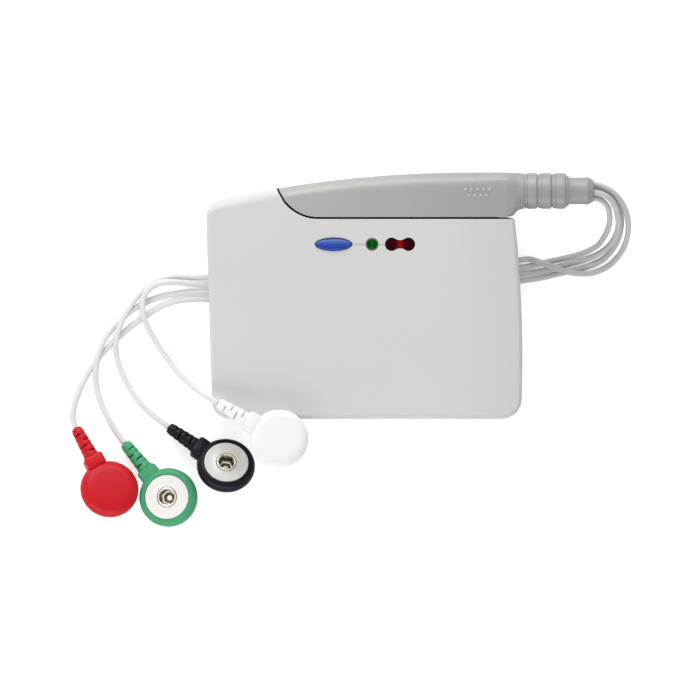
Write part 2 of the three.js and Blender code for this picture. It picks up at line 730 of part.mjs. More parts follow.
// Plug: the same body beyond the seam, then a loft from its box end to the round neck
const plugGroup = new THREE.Group();
recorder.add(plugGroup);
const wideEdge = caseRight + plugOverrun;
const pastPlug = wideEdge + clearOfBody;
const leftOf = (x) => boxFrom(-everywhere, x, -everywhere, everywhere, -everywhere, everywhere);
const plugBody = common(common(stretched(0, wideEdge), plugRegion(seamGap / 2, pastPlug)), leftOf(plugBoxEnd));
const plugHollow = common(
  common(stretched(plugWall, wideEdge), plugRegion(seamGap / 2 + plugWall, pastPlug)),
  leftOf(plugBoxEnd - plugWall),
);

// One closed section across the plug at x, anticlockwise about the cable: its upper corners have their own rounding
function neckSection({ x, low, high, middle, halfDepth, upperY, upperZ, lower }) {
  const front = middle + halfDepth;
  const back = middle - halfDepth;
  const corners = [
    { y: high - upperY, z: front - upperZ, radiusY: upperY, radiusZ: upperZ },
    { y: low + lower, z: front - lower, radiusY: lower, radiusZ: lower },
    { y: low + lower, z: back + lower, radiusY: lower, radiusZ: lower },
    { y: high - upperY, z: back + upperZ, radiusY: upperY, radiusZ: upperZ },
  ];
  const steps = 5;
  return corners.flatMap(({ y, z, radiusY, radiusZ }, quarter) => Array.from({ length: steps + 1 }, (_, i) => {
    const angle = (quarter + i / steps) * (Math.PI / 2);
    return new THREE.Vector3(x, y + radiusY * Math.cos(angle), z + radiusZ * Math.sin(angle));
  }));
}

// How far the neck has gone from box to round at each station: along, underside, depth and corners
const neckStations = [
  { along: 0, under: 0, depth: 0, corner: 0 },
  { along: 0.2, under: 0.04, depth: 0.16, corner: 0.1 },
  { along: 0.42, under: 0.2, depth: 0.46, corner: 0.3 },
  { along: 0.55, under: 0.6, depth: 0.66, corner: 0.6 },
  { along: 0.76, under: 0.9, depth: 0.88, corner: 0.88 },
  { along: 1, under: 1, depth: 1, corner: 1 },
];
const { lerp } = THREE.MathUtils;
const boxBevelWidth = topBevelAtShoulder + (plugBoxEnd - caseLeft) * topBevelGrowth;
const neck = loft(neckStations.map(({ along, under, depth, corner }) => neckSection({
  x: lerp(plugBoxEnd - 0.2, neckEnd, along),
  low: lerp(ledgeHeight + seamGap / 2, cableAxisHeight - neckRadius, under),
  high: lerp(caseTop, cableAxisHeight + neckRadius, along),
  middle: lerp(middleDepth, cableAxisDepth, depth),
  halfDepth: lerp(caseThickness / 2, neckRadius, depth),
  upperY: lerp(boxBevelWidth, neckRadius, corner),
  upperZ: lerp(topBevelDepth, neckRadius, corner),
  lower: lerp(0.4, neckRadius, corner),
})), (point) => new THREE.Vector2(point.y, point.z));

const cableBore = rod(plugBoxEnd - plugWall - 1, neckEnd + 1, cableAxisHeight, cableAxisDepth, sleeveBore);
const tongueSlot = boxFrom(
  tongueTip, tongueRoot, tongueLow - seat, tongueHigh + seat, tongueSpan[0] - seat, tongueSpan[1] + seat,
);
const plugShell = cut(join(plugBody, neck), plugHollow, cableBore, tongueSlot);

// The plug's shells part on the cable's axis. Grip dots: two rows of small domes on its front face
const dotRows = [
  { count: 5, x: plugBoxEnd - dotRowFromEnd, y: cableAxisHeight + dotRowAboveAxis },
  { count: 4, x: plugBoxEnd - dotRowFromEnd + dotPitch / 2, y: cableAxisHeight + dotRowAboveAxis - dotPitch },
];
const gripDot = new THREE.SphereGeometry(dotRadius, 6, 4).rotateX(Math.PI / 2).scale(1, 1, 0.6);
const gripDots = dotRows.flatMap(({ count, x, y }) => Array.from({ length: count }, (_, i) => (
  gripDot.clone().translate(x + i * dotPitch, y, frontFace)
)));
const plugFront = join(common(plugShell, above(cableAxisDepth + partingGap)), ...gripDots);
add('plug_front_shell', toGeometry(plugFront), plugPlastic, plugGroup);
add('plug_rear_shell', toGeometry(common(plugShell, below(cableAxisDepth - partingGap))), plugPlastic, plugGroup);

// Contact tongue with gold strips let into its upper side, one for each lead
const stripPlaces = Array.from(
  { length: leadCount }, (_, i) => middleDepth + (i - (leadCount - 1) / 2) * stripPitch,
);
const stripBox = (z, grow) => boxFrom(
  tongueTip + stripInset - grow, tongueTip + stripInset + stripLength + grow,
  tongueHigh - stripDepth - grow, tongueHigh + (grow ? stripDepth : -stripDepth / 10),
  z - stripWidth / 2 - grow, z + stripWidth / 2 + grow,
);
const tongue = cut(
  boxFrom(tongueTip, tongueRoot, tongueLow, tongueHigh, ...tongueSpan),
  ...stripPlaces.map((z) => stripBox(z, seat)),
);
add('contact_tongue', toGeometry(tongue), chipBlack, plugGroup);
stripPlaces.forEach((z, index) => add(`contact_strip_${index + 1}`, stripBox(z, 0), gold, plugGroup));

// Grip sleeve: three rings with grooves between them
const sleeveStart = neckEnd + seat;
const sleeveProfile = [[sleeveBore, sleeveStart], [grooveRadius, sleeveStart]];
for (let ring = 0; ring < ringCount; ring += 1) {
  const x = sleeveStart + ring * (ringWidth + grooveWidth);
  sleeveProfile.push([ringRadius - 0.15, x + 0.05], [ringRadius, x + 0.2], [ringRadius, x + ringWidth - 0.45]);
  sleeveProfile.push([grooveRadius, x + ringWidth]);
  if (ring < ringCount - 1) sleeveProfile.push([grooveRadius, x + ringWidth + grooveWidth]);
}
const sleeveEnd = sleeveStart + ringCount * ringWidth + (ringCount - 1) * grooveWidth;
sleeveProfile.push([sleeveBore, sleeveEnd], [sleeveBore, sleeveStart]);
const alongCable = (geometry) => geometry.rotateZ(-Math.PI / 2).translate(0, cableAxisHeight, cableAxisDepth);
add('grip_sleeve', outward(alongCable(revolve(sleeveProfile, 20))), plugPlastic, plugGroup);

// Ferrule: the tapered collar that the leads come out of
const ferruleStart = sleeveEnd + seat;
const ferruleEnd = ferruleStart + ferruleLength;
const ferruleProfile = [
  [0, ferruleStart], [grooveRadius - 0.1, ferruleStart], [ferruleRadius, ferruleStart + 0.9],
  [ferruleRadius, ferruleEnd - 2.0], [ferruleRadius + 0.15, ferruleEnd - 1.4], [ferruleRadius - 0.5, ferruleEnd],
  [sleeveBore, ferruleEnd], [sleeveBore, ferruleEnd - ferruleRecess], [0, ferruleEnd - ferruleRecess],
];
add('cable_ferrule', outward(alongCable(revolve(ferruleProfile, 20))), plugPlastic, plugGroup);

// Leads. Each route runs from the ferrule to its snap end, in points chosen along it.
// The loop belongs to the plug, the run to the case.
const leadRoutes = {
  black: {
    loop: [
      [51.0, 30.1, 16.6], [53.6, 29.9, 16.5], [57.3, 28.1, 15.2], [60.2, 24.7, 12.5], [61.6, 20.3, 8.6],
      [61.4, 15.9, 5.0], [59.6, 11.5, 2.6], [56.0, 7.8, 1.3], [51.6, 6.1, 1.3], [47.4, 6.1, 2.4],
      [43.8, 6.9, 2.7], [40.4, 8.1, 2.75], [37.0, 9.4, 2.5], [34.5, 9.9, 1.2],
    ],
    run: [
      [34.1, 9.9, 1.05], [31.0, 9.4, 0.85], [5.0, 7.9, 0.85], [-22.0, 6.4, 0.85], [-47.0, 5.1, 0.85],
      [-55.5, 5.0, 0.85], [-61.5, 5.1, 0.85], [-65.3, 4.1, 0.85], [-68.9, 1.8, 0.9], [-71.4, -0.8, 1.6],
      [-73.2, -3.4, 2.5], [-75.2, -7.0, 2.7], [-76.6, -12.2, 2.65], [-76.3, -17.0, 1.2],
      [-74.2, -22.6, 0.85], [-70.6, -28.4, 0.9], [-66.4, -32.5, 0.87], [-62.51, -35.44, 1.19],
    ],
  },
  white: {
    loop: [
      [51.0, 26.6, 16.55], [52.19, 26.48, 16.43], [53.32, 26.19, 16.14], [54.33, 25.74, 15.69],
      [55.18, 25.14, 15.09], [55.84, 24.36, 14.31], [56.36, 23.25, 13.15], [56.62, 21.7, 11.5],
      [56.6, 19.8, 9.4], [56.1, 17.8, 7.1], [55.1, 15.8, 4.9], [53.6, 13.8, 2.75], [51.2, 12.3, 1.55],
      [48.4, 11.2, 0.97], [44.9, 10.25, 0.85], [41.0, 9.4, 0.85], [37.6, 8.6, 0.85], [34.5, 7.9, 0.85],
    ],
    run: [
      [34.1, 7.8, 0.85], [31.0, 7.5, 0.85], [5.0, 6.0, 0.85], [-22.0, 4.4, 0.85], [-47.0, 3.1, 0.85],
      [-52.5, 2.9, 0.95], [-57.2, 3.3, 1.6], [-61.2, 3.7, 2.4], [-65.2, 3.3, 2.7], [-68.4, 1.1, 2.7],
      [-69.5, -2.3, 2.65], [-69.2, -5.6, 2.65], [-67.6, -9.4, 1.6], [-64.9, -13.9, 0.85],
      [-62.2, -17.8, 1.0], [-60.1, -20.4, 2.1], [-58.3, -22.2, 4.7], [-56.5, -23.9, 8.8],
      [-54.9, -25.2, 13.8], [-54.05, -25.9, 18.0], [-53.5, -26.3, 21.3], [-53.05, -26.6, 22.6],
      [-52.35, -27.0, 23.55], [-51.42, -27.57, 24.25], [-50.37, -28.18, 24.7], [-49.27, -28.83, 24.94],
    ],
  },
  green: {
    loop: [
      [51.0, 27.9, 17.9], [52.4, 27.88, 17.88], [53.9, 27.6, 17.6], [55.4, 27.0, 17.0],
      [56.8, 26.0, 16.05], [57.9, 24.4, 14.6], [58.6, 22.3, 12.6], [59.0, 19.8, 10.0], [58.6, 17.0, 7.2],
      [56.8, 13.9, 4.1], [53.8, 11.4, 1.9], [50.2, 9.85, 0.97], [46.2, 8.7, 0.85], [42.0, 7.6, 0.85],
      [37.8, 6.6, 0.85], [34.5, 6.1, 0.85],
    ],
    run: [
      [34.1, 6.0, 0.85], [31.0, 5.7, 0.85], [5.0, 4.1, 0.85], [-22.0, 2.4, 0.85], [-47.0, 1.0, 0.85],
      [-57.0, 0.9, 0.85], [-61.6, 0.4, 0.85], [-65.4, -0.5, 0.85], [-69.2, -2.1, 0.85],
      [-73.2, -4.5, 0.85], [-77.0, -8.1, 0.9], [-79.9, -12.0, 1.8], [-81.4, -15.7, 2.65],
      [-82.0, -19.2, 2.3], [-82.0, -23.6, 1.0], [-80.9, -28.4, 0.85], [-78.6, -33.3, 0.9],
      [-76.3, -37.2, 0.9], [-74.38, -39.70, 1.25],
    ],
  },
  red: {
    loop: [
      [51.0, 28.8, 15.3], [54.6, 28.2, 14.8], [57.9, 25.9, 12.4], [59.6, 22.1, 8.7], [59.6, 17.7, 4.6],
      [57.9, 13.2, 2.1], [54.8, 9.9, 1.1], [51.0, 8.0, 0.85], [46.9, 6.9, 0.85], [42.2, 5.8, 0.85],
      [37.8, 4.8, 0.85], [34.5, 4.3, 0.85],
    ],
    run: [
      [34.1, 4.2, 0.85], [31.0, 3.9, 0.85], [5.0, 2.2, 0.85], [-22.0, 0.5, 0.85], [-47.0, -0.9, 0.85],
      [-56.8, -1.0, 0.85], [-61.2, -1.7, 0.85], [-64.6, -3.0, 0.85], [-68.2, -5.1, 0.85],
      [-72.0, -7.9, 0.85], [-75.8, -11.1, 0.85], [-79.4, -14.6, 0.85], [-82.3, -18.0, 0.85],
      [-84.9, -22.2, 0.85], [-87.0, -26.8, 0.85], [-88.1, -30.4, 0.85], [-88.3, -33.3, 0.9],
      [-87.53, -35.64, 1.17],
    ],
  },
};

// A curve that passes through its points at equal steps, so that a section lies on each of them
class Route extends THREE.CatmullRomCurve3 {
  constructor(points) {
    super(points.map(([x, y, z]) => new THREE.Vector3(x, y, z)), false, 'centripetal');
  }

  getPointAt(u, target) {
    return this.getPoint(u, target);
  }

  getTangentAt(u, target) {
    return this.getTangent(u, target);
  }
}

function leadTube(points) {
  const section = new THREE.Shape();
  Array.from({ length: leadSides }, (_, i) => (i / leadSides) * 2 * Math.PI).forEach((angle, i) => {
    const x = (leadDiameter / 2) * Math.cos(angle);
    const y = (leadDiameter / 2) * Math.sin(angle);
    if (i === 0) section.moveTo(x, y);
    else section.lineTo(x, y);
  });
  return new THREE.ExtrudeGeometry(section, {
    steps: points.length - 1, extrudePath: new Route(points), bevelEnabled: false,
  });
}

// Snap ends: where each head lies and how it is turned, in degrees
const snapPlaces = {
  red: { x: -78.4, y: -52.1, yaw: -61, pitch: 14, roll: -14, faceUp: false, rest: 0.02 },
  green: { x: -62.4, y: -54.5, yaw: -51, pitch: 11, roll: 7, faceUp: true, rest: 0.02 },
  black: { x: -47.0, y: -46.1, yaw: -34.5, pitch: 14, roll: -26, faceUp: true, rest: 0.02 },
  white: { x: -32.6, y: -38.65, yaw: -30.5, pitch: 4, roll: -8, faceUp: false, rest: frontFace + 0.35 },
};

function snapOvermould() {
  const half = snapThickness / 2;
  const wellBottom = half - studDepth - 1;
  const plateSeat = half - plateThickness - 2 * seat;
  const profile = [
    [0, -half], [snapRadius - snapCrown - 1, -half + 0.1], [snapRadius - snapCrown * 0.5, -half + snapCrown * 0.25],
    [snapRadius - snapCrown * 0.14, -half + snapCrown * 0.62], [snapRadius, -half + snapCrown],
    [snapRadius, half - snapRim], [snapRadius - snapRim * 0.3, half - snapRim * 0.3], [snapRadius - snapRim, half],
    [plateRadius + seat, half], [plateRadius + seat, plateSeat], [eyeletRadius + seat, plateSeat],
    [eyeletRadius + seat, wellBottom], [0, wellBottom],
  ];
  const head = outward(revolve(profile, 20).rotateX(Math.PI / 2));
  const bootRoot = -(snapRadius - 0.6);
  const bootEnd = -(snapRadius + bootLength);
  const bootProfile = [
    [0, bootEnd], [bootTipRadius - 0.3, bootEnd], [bootTipRadius, bootEnd + 0.4],
    [bootRootRadius, bootRoot], [0, bootRoot],
  ];
  const boot = outward(revolve(bootProfile, 10).rotateZ(-Math.PI / 2));
  const blockShape = roundedRectangle(-bootRootRadius, bootRootRadius, -shoulderBlock / 2, shoulderBlock / 2, 0.8);
  const block = slab(blockShape, 0, 3.4, 2).rotateY(-Math.PI / 2).translate(bootRoot + 0.4, 0, 0);
  const slits = [0, 1, 2, 3].map((i) => {
    const x = bootEnd + 2.0 + i * 1.75;
    const side = i % 2 === 0 ? 1 : -1;
    return boxFrom(x, x + slitWidth, side > 0 ? 0.5 : -4, side > 0 ? 4 : -0.5, -4, 4);
  });
  return toGeometry(cut(join(head, boot, block), ...slits));
}

function contactPlate() {
  const low = snapThickness / 2 - plateThickness - seat;
  const profile = [
    [eyeletRadius + seat, low], [plateRadius, low], [plateRadius - 0.1, low + plateThickness],
    [eyeletRadius + seat, low + plateThickness], [eyeletRadius + seat, low],
  ];
  return outward(revolve(profile, 20).rotateX(Math.PI / 2));
}

function studSocket() {
  const top = snapThickness / 2 + 0.15;
  const low = snapThickness / 2 - studDepth - 1 + seat;
  const profile = [
    [0, low], [eyeletRadius, low], [eyeletRadius, top - 0.2], [eyeletRadius - 0.2, top],
    [studBore + 0.15, top - 0.1], [studBore, top - 0.5], [studBore, low + 0.5], [0, low + 0.5],
  ];
  return outward(revolve(profile, 16).rotateX(Math.PI / 2));
}

Object.entries(snapPlaces).forEach(([colour, { x, y, yaw, pitch, roll, faceUp, rest }]) => {
  const { loop, run } = leadRoutes[colour];
  add(`lead_loop_${colour}`, leadTube(loop), leadJacket, plugGroup);
  add(`lead_run_${colour}`, leadTube(run), leadJacket);
  const head = new THREE.Group();
  const overmould = finish(snapColours[colour], 0.4);
  add(`snap_${colour}`, snapOvermould(), overmould, head);
  add(`plate_${colour}`, contactPlate(), plateSilver, head);
  add(`socket_${colour}`, studSocket(), steel, head);
  const turn = THREE.MathUtils.degToRad;
  const flip = faceUp ? 0 : 180;
  head.rotation.set(turn(roll + flip), turn(-pitch), turn(yaw), 'ZYX');
  head.position.set(x, y, 0);
  const lowest = new THREE.Box3().setFromObject(head, true).min.z;
  head.position.z = rest - lowest;
  recorder.add(head);
});

export default recorder;
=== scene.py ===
"""Studio view of a pocket heart recorder with its patient cable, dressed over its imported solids.

Lengths in the classes are millimetres in the frame of the solids: X runs along the case
towards the cable, Y across it towards the plug, and Z from the table up to the front face.
"""

import logging
import math
from dataclasses import dataclass
from enum import Enum
from typing import Iterable, Sequence

import bpy
from mathutils import Matrix, Vector

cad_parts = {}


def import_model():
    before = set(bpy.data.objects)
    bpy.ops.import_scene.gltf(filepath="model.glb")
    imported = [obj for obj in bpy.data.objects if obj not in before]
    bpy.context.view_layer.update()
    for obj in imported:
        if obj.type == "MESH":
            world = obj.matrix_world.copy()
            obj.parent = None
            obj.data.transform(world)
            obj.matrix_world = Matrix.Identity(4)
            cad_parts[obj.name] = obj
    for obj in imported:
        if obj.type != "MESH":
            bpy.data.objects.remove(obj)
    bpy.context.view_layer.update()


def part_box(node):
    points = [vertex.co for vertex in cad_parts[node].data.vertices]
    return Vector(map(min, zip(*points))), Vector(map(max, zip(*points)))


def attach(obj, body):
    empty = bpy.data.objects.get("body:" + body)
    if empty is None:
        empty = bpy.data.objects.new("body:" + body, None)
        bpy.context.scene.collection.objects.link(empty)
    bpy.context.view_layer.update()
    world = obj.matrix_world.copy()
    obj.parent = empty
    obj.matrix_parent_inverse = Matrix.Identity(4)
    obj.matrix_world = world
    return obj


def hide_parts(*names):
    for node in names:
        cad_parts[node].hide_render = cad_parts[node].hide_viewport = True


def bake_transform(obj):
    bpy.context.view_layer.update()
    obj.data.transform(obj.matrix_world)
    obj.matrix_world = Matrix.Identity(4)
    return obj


LOG = logging.getLogger("recorder")
MM = 0.001
PLASTIC_IOR = 1.5
# Mask for the painted shade in the stud wells and the painted highlight on their domes.
SHADE_AND_HIGHLIGHT_MASK = "shade_and_highlight_mask"
Point = tuple[float, float, float]
Colour = tuple[int, int, int]
Pair = tuple[float, float]
Profile = list[Pair]
Stops = list[tuple[float, Sequence[float]]]
Piece = bpy.types.Object
Socket = bpy.types.NodeSocket


class LeadColour(Enum):
    """The colour of a lead's snap head."""

    WHITE = "white"
    BLACK = "black"
    GREEN = "green"
    RED = "red"


class Body(Enum):
    """The rigid bodies that a piece can ride on."""

    CASE = "case"
    PLUG = "plug"
    BUTTON = "button"
    DOOR = "door"


# Finishes


def linear(rgb: Sequence[float]) -> tuple[float, float, float, float]:
    """Turns a colour as seen on a screen into light values.

    Args:
        rgb: Red, green and blue from 0 to 255.

    Returns:
        The colour with an alpha of 1.
    """
    parts = [c / 255 for c in rgb]
    light = [c / 12.92 if c <= 0.04045 else ((c + 0.055) / 1.055) ** 2.4 for c in parts]
    return (light[0], light[1], light[2], 1.0)


class Graph:
    """A node tree while it is being drawn."""

    def __init__(self, tree: bpy.types.NodeTree) -> None:
        """Takes the tree."""
        self.tree = tree

    def give(self, socket: Socket, value: object) -> None:
        """Gives an input its value.

        Args:
            socket: The input.
            value: A number or colour to set, or an output to link.
        """
        if isinstance(value, Socket):
            self.tree.links.new(value, socket)
        else:
            socket.default_value = value

    def fill(self, node: bpy.types.Node, **values: object) -> None:
        """Gives several inputs of a node their values.

        Args:
            node: The node.
            **values: The values by the input's name, with underscores for spaces.
        """
        for name, value in values.items():
            self.give(node.inputs[name.replace("_", " ")], value)

    def node(self, kind: str, **values: object) -> bpy.types.Node:
        """Adds a node.

        Args:
            kind: Its type, without ShaderNode in front.
            **values: What its inputs are given.

        Returns:
            The node.
        """
        node = self.tree.nodes.new(f"ShaderNode{kind}")
        self.fill(node, **values)
        return node

    def reckon(self, operation: str, first: Socket, second: object = 0.0) -> Socket:
        """Reckons with one value or two.

        Args:
            operation: What is reckoned.
            first: The first value.
            second: The second value, where the operation takes two.

        Returns:
            The result.
        """
        node = self.node("Math")
        node.operation = operation
        self.give(node.inputs[0], first)
        self.give(node.inputs[1], second)
        return node.outputs[0]


class Sketch(Graph):
    """A material's node tree while it is being drawn."""

    noise_low = 0.3
    noise_high = 0.7

    def __init__(self, name: str) -> None:
        """Starts a material with its shader and its place on the piece.

        Args:
            name: The material's name.
        """
        self.material = bpy.data.materials.new(name)
        self.material.use_nodes = True
        super().__init__(self.material.node_tree)
        self.shader = self.tree.nodes["Principled BSDF"]
        self.place = self.node("TexCoord").outputs["Object"]

    def set(self, **values: object) -> None:
        """Gives the shader's own inputs their values, by name with underscores for spaces."""
        self.fill(self.shader, **values)

    def noise(self, size: float, detail: float = 2.0, stretch: Point = (1, 1, 1)) -> Socket:
        """Adds a noise pattern.

        Args:
            size: The size of its spots in millimetres.
            detail: How many finer octaves it has.
            stretch: How much longer the spots are along each axis.

        Returns:
            The pattern's value.
        """
        scale = [1 / (size * MM * s) for s in stretch]
        mapping = self.node("Mapping", Vector=self.place, Scale=scale)
        place = mapping.outputs["Vector"]
        return self.node("TexNoise", Vector=place, Scale=1.0, Detail=detail).outputs["Fac"]

    def ramp(self, value: Socket, stops: Stops) -> Socket:
        """Colours a value.

        Args:
            value: The value from 0 to 1.
            stops: Places along it and their colours.

        Returns:
            The colour.
        """
        node = self.node("ValToRGB", Fac=value)
        elements = node.color_ramp.elements
        while len(elements) < len(stops):
            elements.new(0.5)
        for element, (at, colour) in zip(elements, stops):
            element.position = at
            element.color = colour
        return node.outputs["Color"]

    def spread(self, value: Socket, low: float, high: float) -> Socket:
        """Spreads a noise value between two limits.

        Args:
            value: The noise.
            low: Its result where the noise is low.
            high: Its result where the noise is high.

        Returns:
            The new value.
        """
        limits = {"From_Min": self.noise_low, "From_Max": self.noise_high, "To_Min": low, "To_Max": high}
        return self.node("MapRange", Value=value, **limits).outputs["Result"]

    def axis(self, letter: str) -> Socket:
        """Reads how far along one axis a point is.

        Args:
            letter: X, Y or Z.

        Returns:
            The distance in metres.
        """
        return self.node("SeparateXYZ", Vector=self.place).outputs[letter]

    def between(self, value: Socket, low: float, high: float) -> Socket:
        """Turns a distance into 0 to 1 between two places.

        Args:
            value: The distance in metres.
            low: Where it is 0, in millimetres.
            high: Where it is 1, in millimetres.

        Returns:
            The share of the way.
        """
        return self.node("MapRange", Value=value, From_Min=low * MM, From_Max=high * MM).outputs["Result"]

    def bump(self, height: Socket, depth: float, strength: float = 1.0) -> None:
        """Gives the surface relief.

        Args:
            height: The relief from 0 to 1.
            depth: Its depth in millimetres.
            strength: How much of it shows.
        """
        relief = self.node("Bump", Height=height, Distance=depth * MM, Strength=strength)
        self.set(Normal=relief.outputs["Normal"])


@dataclass(frozen=True)
class Finish:
    """What every finish states: its name, its colour from 0 to 255, how rough it is and its painted shade.

    A painted shade gives an axis, where along it the colour starts and ends to darken as if in shade, and the
    share left.
    """

    name: str
    colour: Colour
    roughness: float
    painted_shade: tuple[str, float, float, float] | None = None

    def with_painted_shade(self, sketch: Sketch, tone: Socket) -> Socket:
        """Paints shade into a colour along one axis, where the finish has a painted shade.

        Args:
            sketch: The material being drawn.
            tone: The colour before it.

        Returns:
            The colour after it.
        """
        if not self.painted_shade:
            return tone
        axis, start, end, change = self.painted_shade
        mix = sketch.node("Mix")
        mix.data_type = "RGBA"
        mix.blend_type = "MULTIPLY"
        share = sketch.between(sketch.axis(axis), start, end)
        sketch.fill(mix, A=tone, B=(change, change, change, 1), Factor=share)
        return mix.outputs["Result"]

    def tones(self, change: float) -> Stops:
        """Makes ramp stops for a colour that varies a little.

        Args:
            change: The share by which it gets darker and lighter.

        Returns:
            The darkest and the lightest stop.
        """
        base = linear(self.colour)
        dark = [c * (1 - change) for c in base[:3]] + [1]
        light = [min(c * (1 + change), 1) for c in base[:3]] + [1]
        return [(0.35, dark), (0.65, light)]

    def material(self) -> bpy.types.Material:
        """Draws the finish. Each kind draws its own."""
        raise NotImplementedError


@dataclass(frozen=True)
class MouldedPlastic(Finish):
    """Moulded plastic with the fine texture of its mould, cloudy tone and rubbed spots."""

    grain: float = 0.35
    grain_depth: float = 0.012
    cloud: float = 14.0
    cloudiness: float = 0.02
    coat: float = 0.0
    coat_roughness: float = 0.12
    shine: float = 0.35
    smoother: float = 0.05
    rougher: float = 0.06

    def material(self) -> bpy.types.Material:
        """Draws the plastic, with a lengthwise painted shade where it has one.

        Returns:
            The material.
        """
        sketch = Sketch(self.name)
        tone = sketch.ramp(sketch.noise(self.cloud), self.tones(self.cloudiness))
        rubbed = sketch.noise(self.cloud / 3, 4.0)
        # The base colour carries the painted shade along one axis, where the finish has one.
        sketch.set(
            Coat_Weight=self.coat, Coat_Roughness=self.coat_roughness, IOR=PLASTIC_IOR,
            Specular_IOR_Level=self.shine, Base_Color=self.with_painted_shade(sketch, tone),
            Roughness=sketch.spread(rubbed, self.roughness - self.smoother, self.roughness + self.rougher),
        )
        if self.grain_depth:
            sketch.bump(sketch.noise(self.grain, 1.0), self.grain_depth)
        return sketch.material


@dataclass(frozen=True)
class SoftRubber(Finish):
    """Soft rubber or flexible plastic, a little velvety, with shallow dimples."""

    sheen: float = 0.0
    sheen_roughness: float = 0.4
    shine: float = 0.25
    cloud: float = 2.6
    cloudiness: float = 0.02
    rub: float = 1.2
    smoother: float = 0.05
    rougher: float = 0.08
    dimple: float = 0.9
    dimple_depth: float = 0.02

    def material(self) -> bpy.types.Material:
        """Draws the rubber.

        Returns:
            The material.
        """
        sketch = Sketch(self.name)
        tone = sketch.ramp(sketch.noise(self.cloud, 3.0), self.tones(self.cloudiness))
        rubbed = sketch.noise(self.rub)
        # The base colour carries the painted shade along one axis, where the finish has one.
        sketch.set(
            Sheen_Weight=self.sheen, Sheen_Roughness=self.sheen_roughness, IOR=PLASTIC_IOR,
            Specular_IOR_Level=self.shine, Base_Color=self.with_painted_shade(sketch, tone),
            Roughness=sketch.spread(rubbed, self.roughness - self.smoother, self.roughness + self.rougher),
        )
        sketch.bump(sketch.noise(self.dimple, 3.0), self.dimple_depth)
        return sketch.material


@dataclass(frozen=True)
class Metal(Finish):
    """Metal with fine rubbing marks along one direction."""

    marks: Point = (1, 1, 1)
    mark_size: float = 0.2
    mark_shade_and_highlight: float = 0.002
    tarnish: float = 0.05
    tarnish_size: float = 1.8
    rub: float = 0.8
    metallic: float = 1.0
    smoothest: float = 0.8
    roughest: float = 1.25

    def tint(self, sketch: Sketch) -> Socket:
        """Colours the metal, with a little tarnish.

        Args:
            sketch: The material being drawn.

        Returns:
            The colour.
        """
        return sketch.ramp(sketch.noise(self.tarnish_size, 3.0), self.tones(self.tarnish))

    def material(self) -> bpy.types.Material:
        """Draws the metal.

        Returns:
            The material.
        """
        sketch = Sketch(self.name)
        rubbed = sketch.noise(self.rub, 3.0)
        rough = sketch.spread(rubbed, self.roughness * self.smoothest, self.roughness * self.roughest)
        sketch.set(Metallic=self.metallic, Base_Color=self.tint(sketch), Roughness=rough)
        sketch.bump(sketch.noise(self.mark_size, 2.0, self.marks), self.mark_shade_and_highlight)
        return sketch.material


@dataclass(frozen=True)
class SocketMetal(Metal):
    """Plated metal with painted shade down into the well of a stud socket, and a painted reflection on its
    floor.
    """

    painted_well_shade: Colour = (84, 74, 52)
    floor: Colour = (186, 182, 172)

    def tint(self, sketch: Sketch) -> Socket:
        """Colours the metal with its painted shade and reflection, by the mask that the socket's mesh
        carries.

        Args:
            sketch: The material being drawn.

        Returns:
            The colour.
        """
        depth = sketch.node("Attribute")
        depth.attribute_name = SHADE_AND_HIGHLIGHT_MASK
        # Painted shade down the well, and a painted reflection in the floor colour.
        stops = [(0.0, self.colour), (0.3, self.painted_well_shade), (0.75, self.painted_well_shade), (1.0, self.floor)]
        return sketch.ramp(depth.outputs["Fac"], [(at, linear(rgb)) for at, rgb in stops])


@dataclass(frozen=True)
class ClearPlastic(Finish):
    """Dyed see-through plastic with painted light: its colour turns to a lighter one round a middle line
    along one axis.
    """

    painted_light_colour: Colour = (0, 0, 0)
    painted_light_from: float = 0.0
    painted_light_to: float = 1.0
    axis: str = "X"
    middle: float = 0.0
    shine: float = 0.15
    ior: float = 1.52
    painted_light_share: float = 0.3
    rougher: float = 0.05
    ripple: float = 1.4
    ripple_depth: float = 0.01
    ripple_strength: float = 0.4

    def material(self) -> bpy.types.Material:
        """Draws the dyed plastic with its painted light round its middle.

        Returns:
            The material.
        """
        sketch = Sketch(self.name)
        # Painted light: the colour turns lighter towards the middle line.
        offset = sketch.reckon("SUBTRACT", sketch.axis(self.axis), self.middle * MM)
        share = sketch.between(sketch.reckon("ABSOLUTE", offset), self.painted_light_from, self.painted_light_to)
        near, far = self.painted_light_share, 1 - self.painted_light_share
        half_way = tuple(near * a + far * b for a, b in zip(self.painted_light_colour, self.colour))
        stops = [(0.0, linear(self.painted_light_colour)), (0.5, linear(half_way)), (1.0, linear(self.colour))]
        rough = sketch.spread(sketch.noise(1.0), self.roughness, self.roughness + self.rougher)
        sketch.set(
            IOR=self.ior, Specular_IOR_Level=self.shine, Base_Color=sketch.ramp(share, stops),
            Roughness=rough,
        )
        sketch.bump(sketch.noise(self.ripple, 1.0), self.ripple_depth, self.ripple_strength)
        return sketch.material


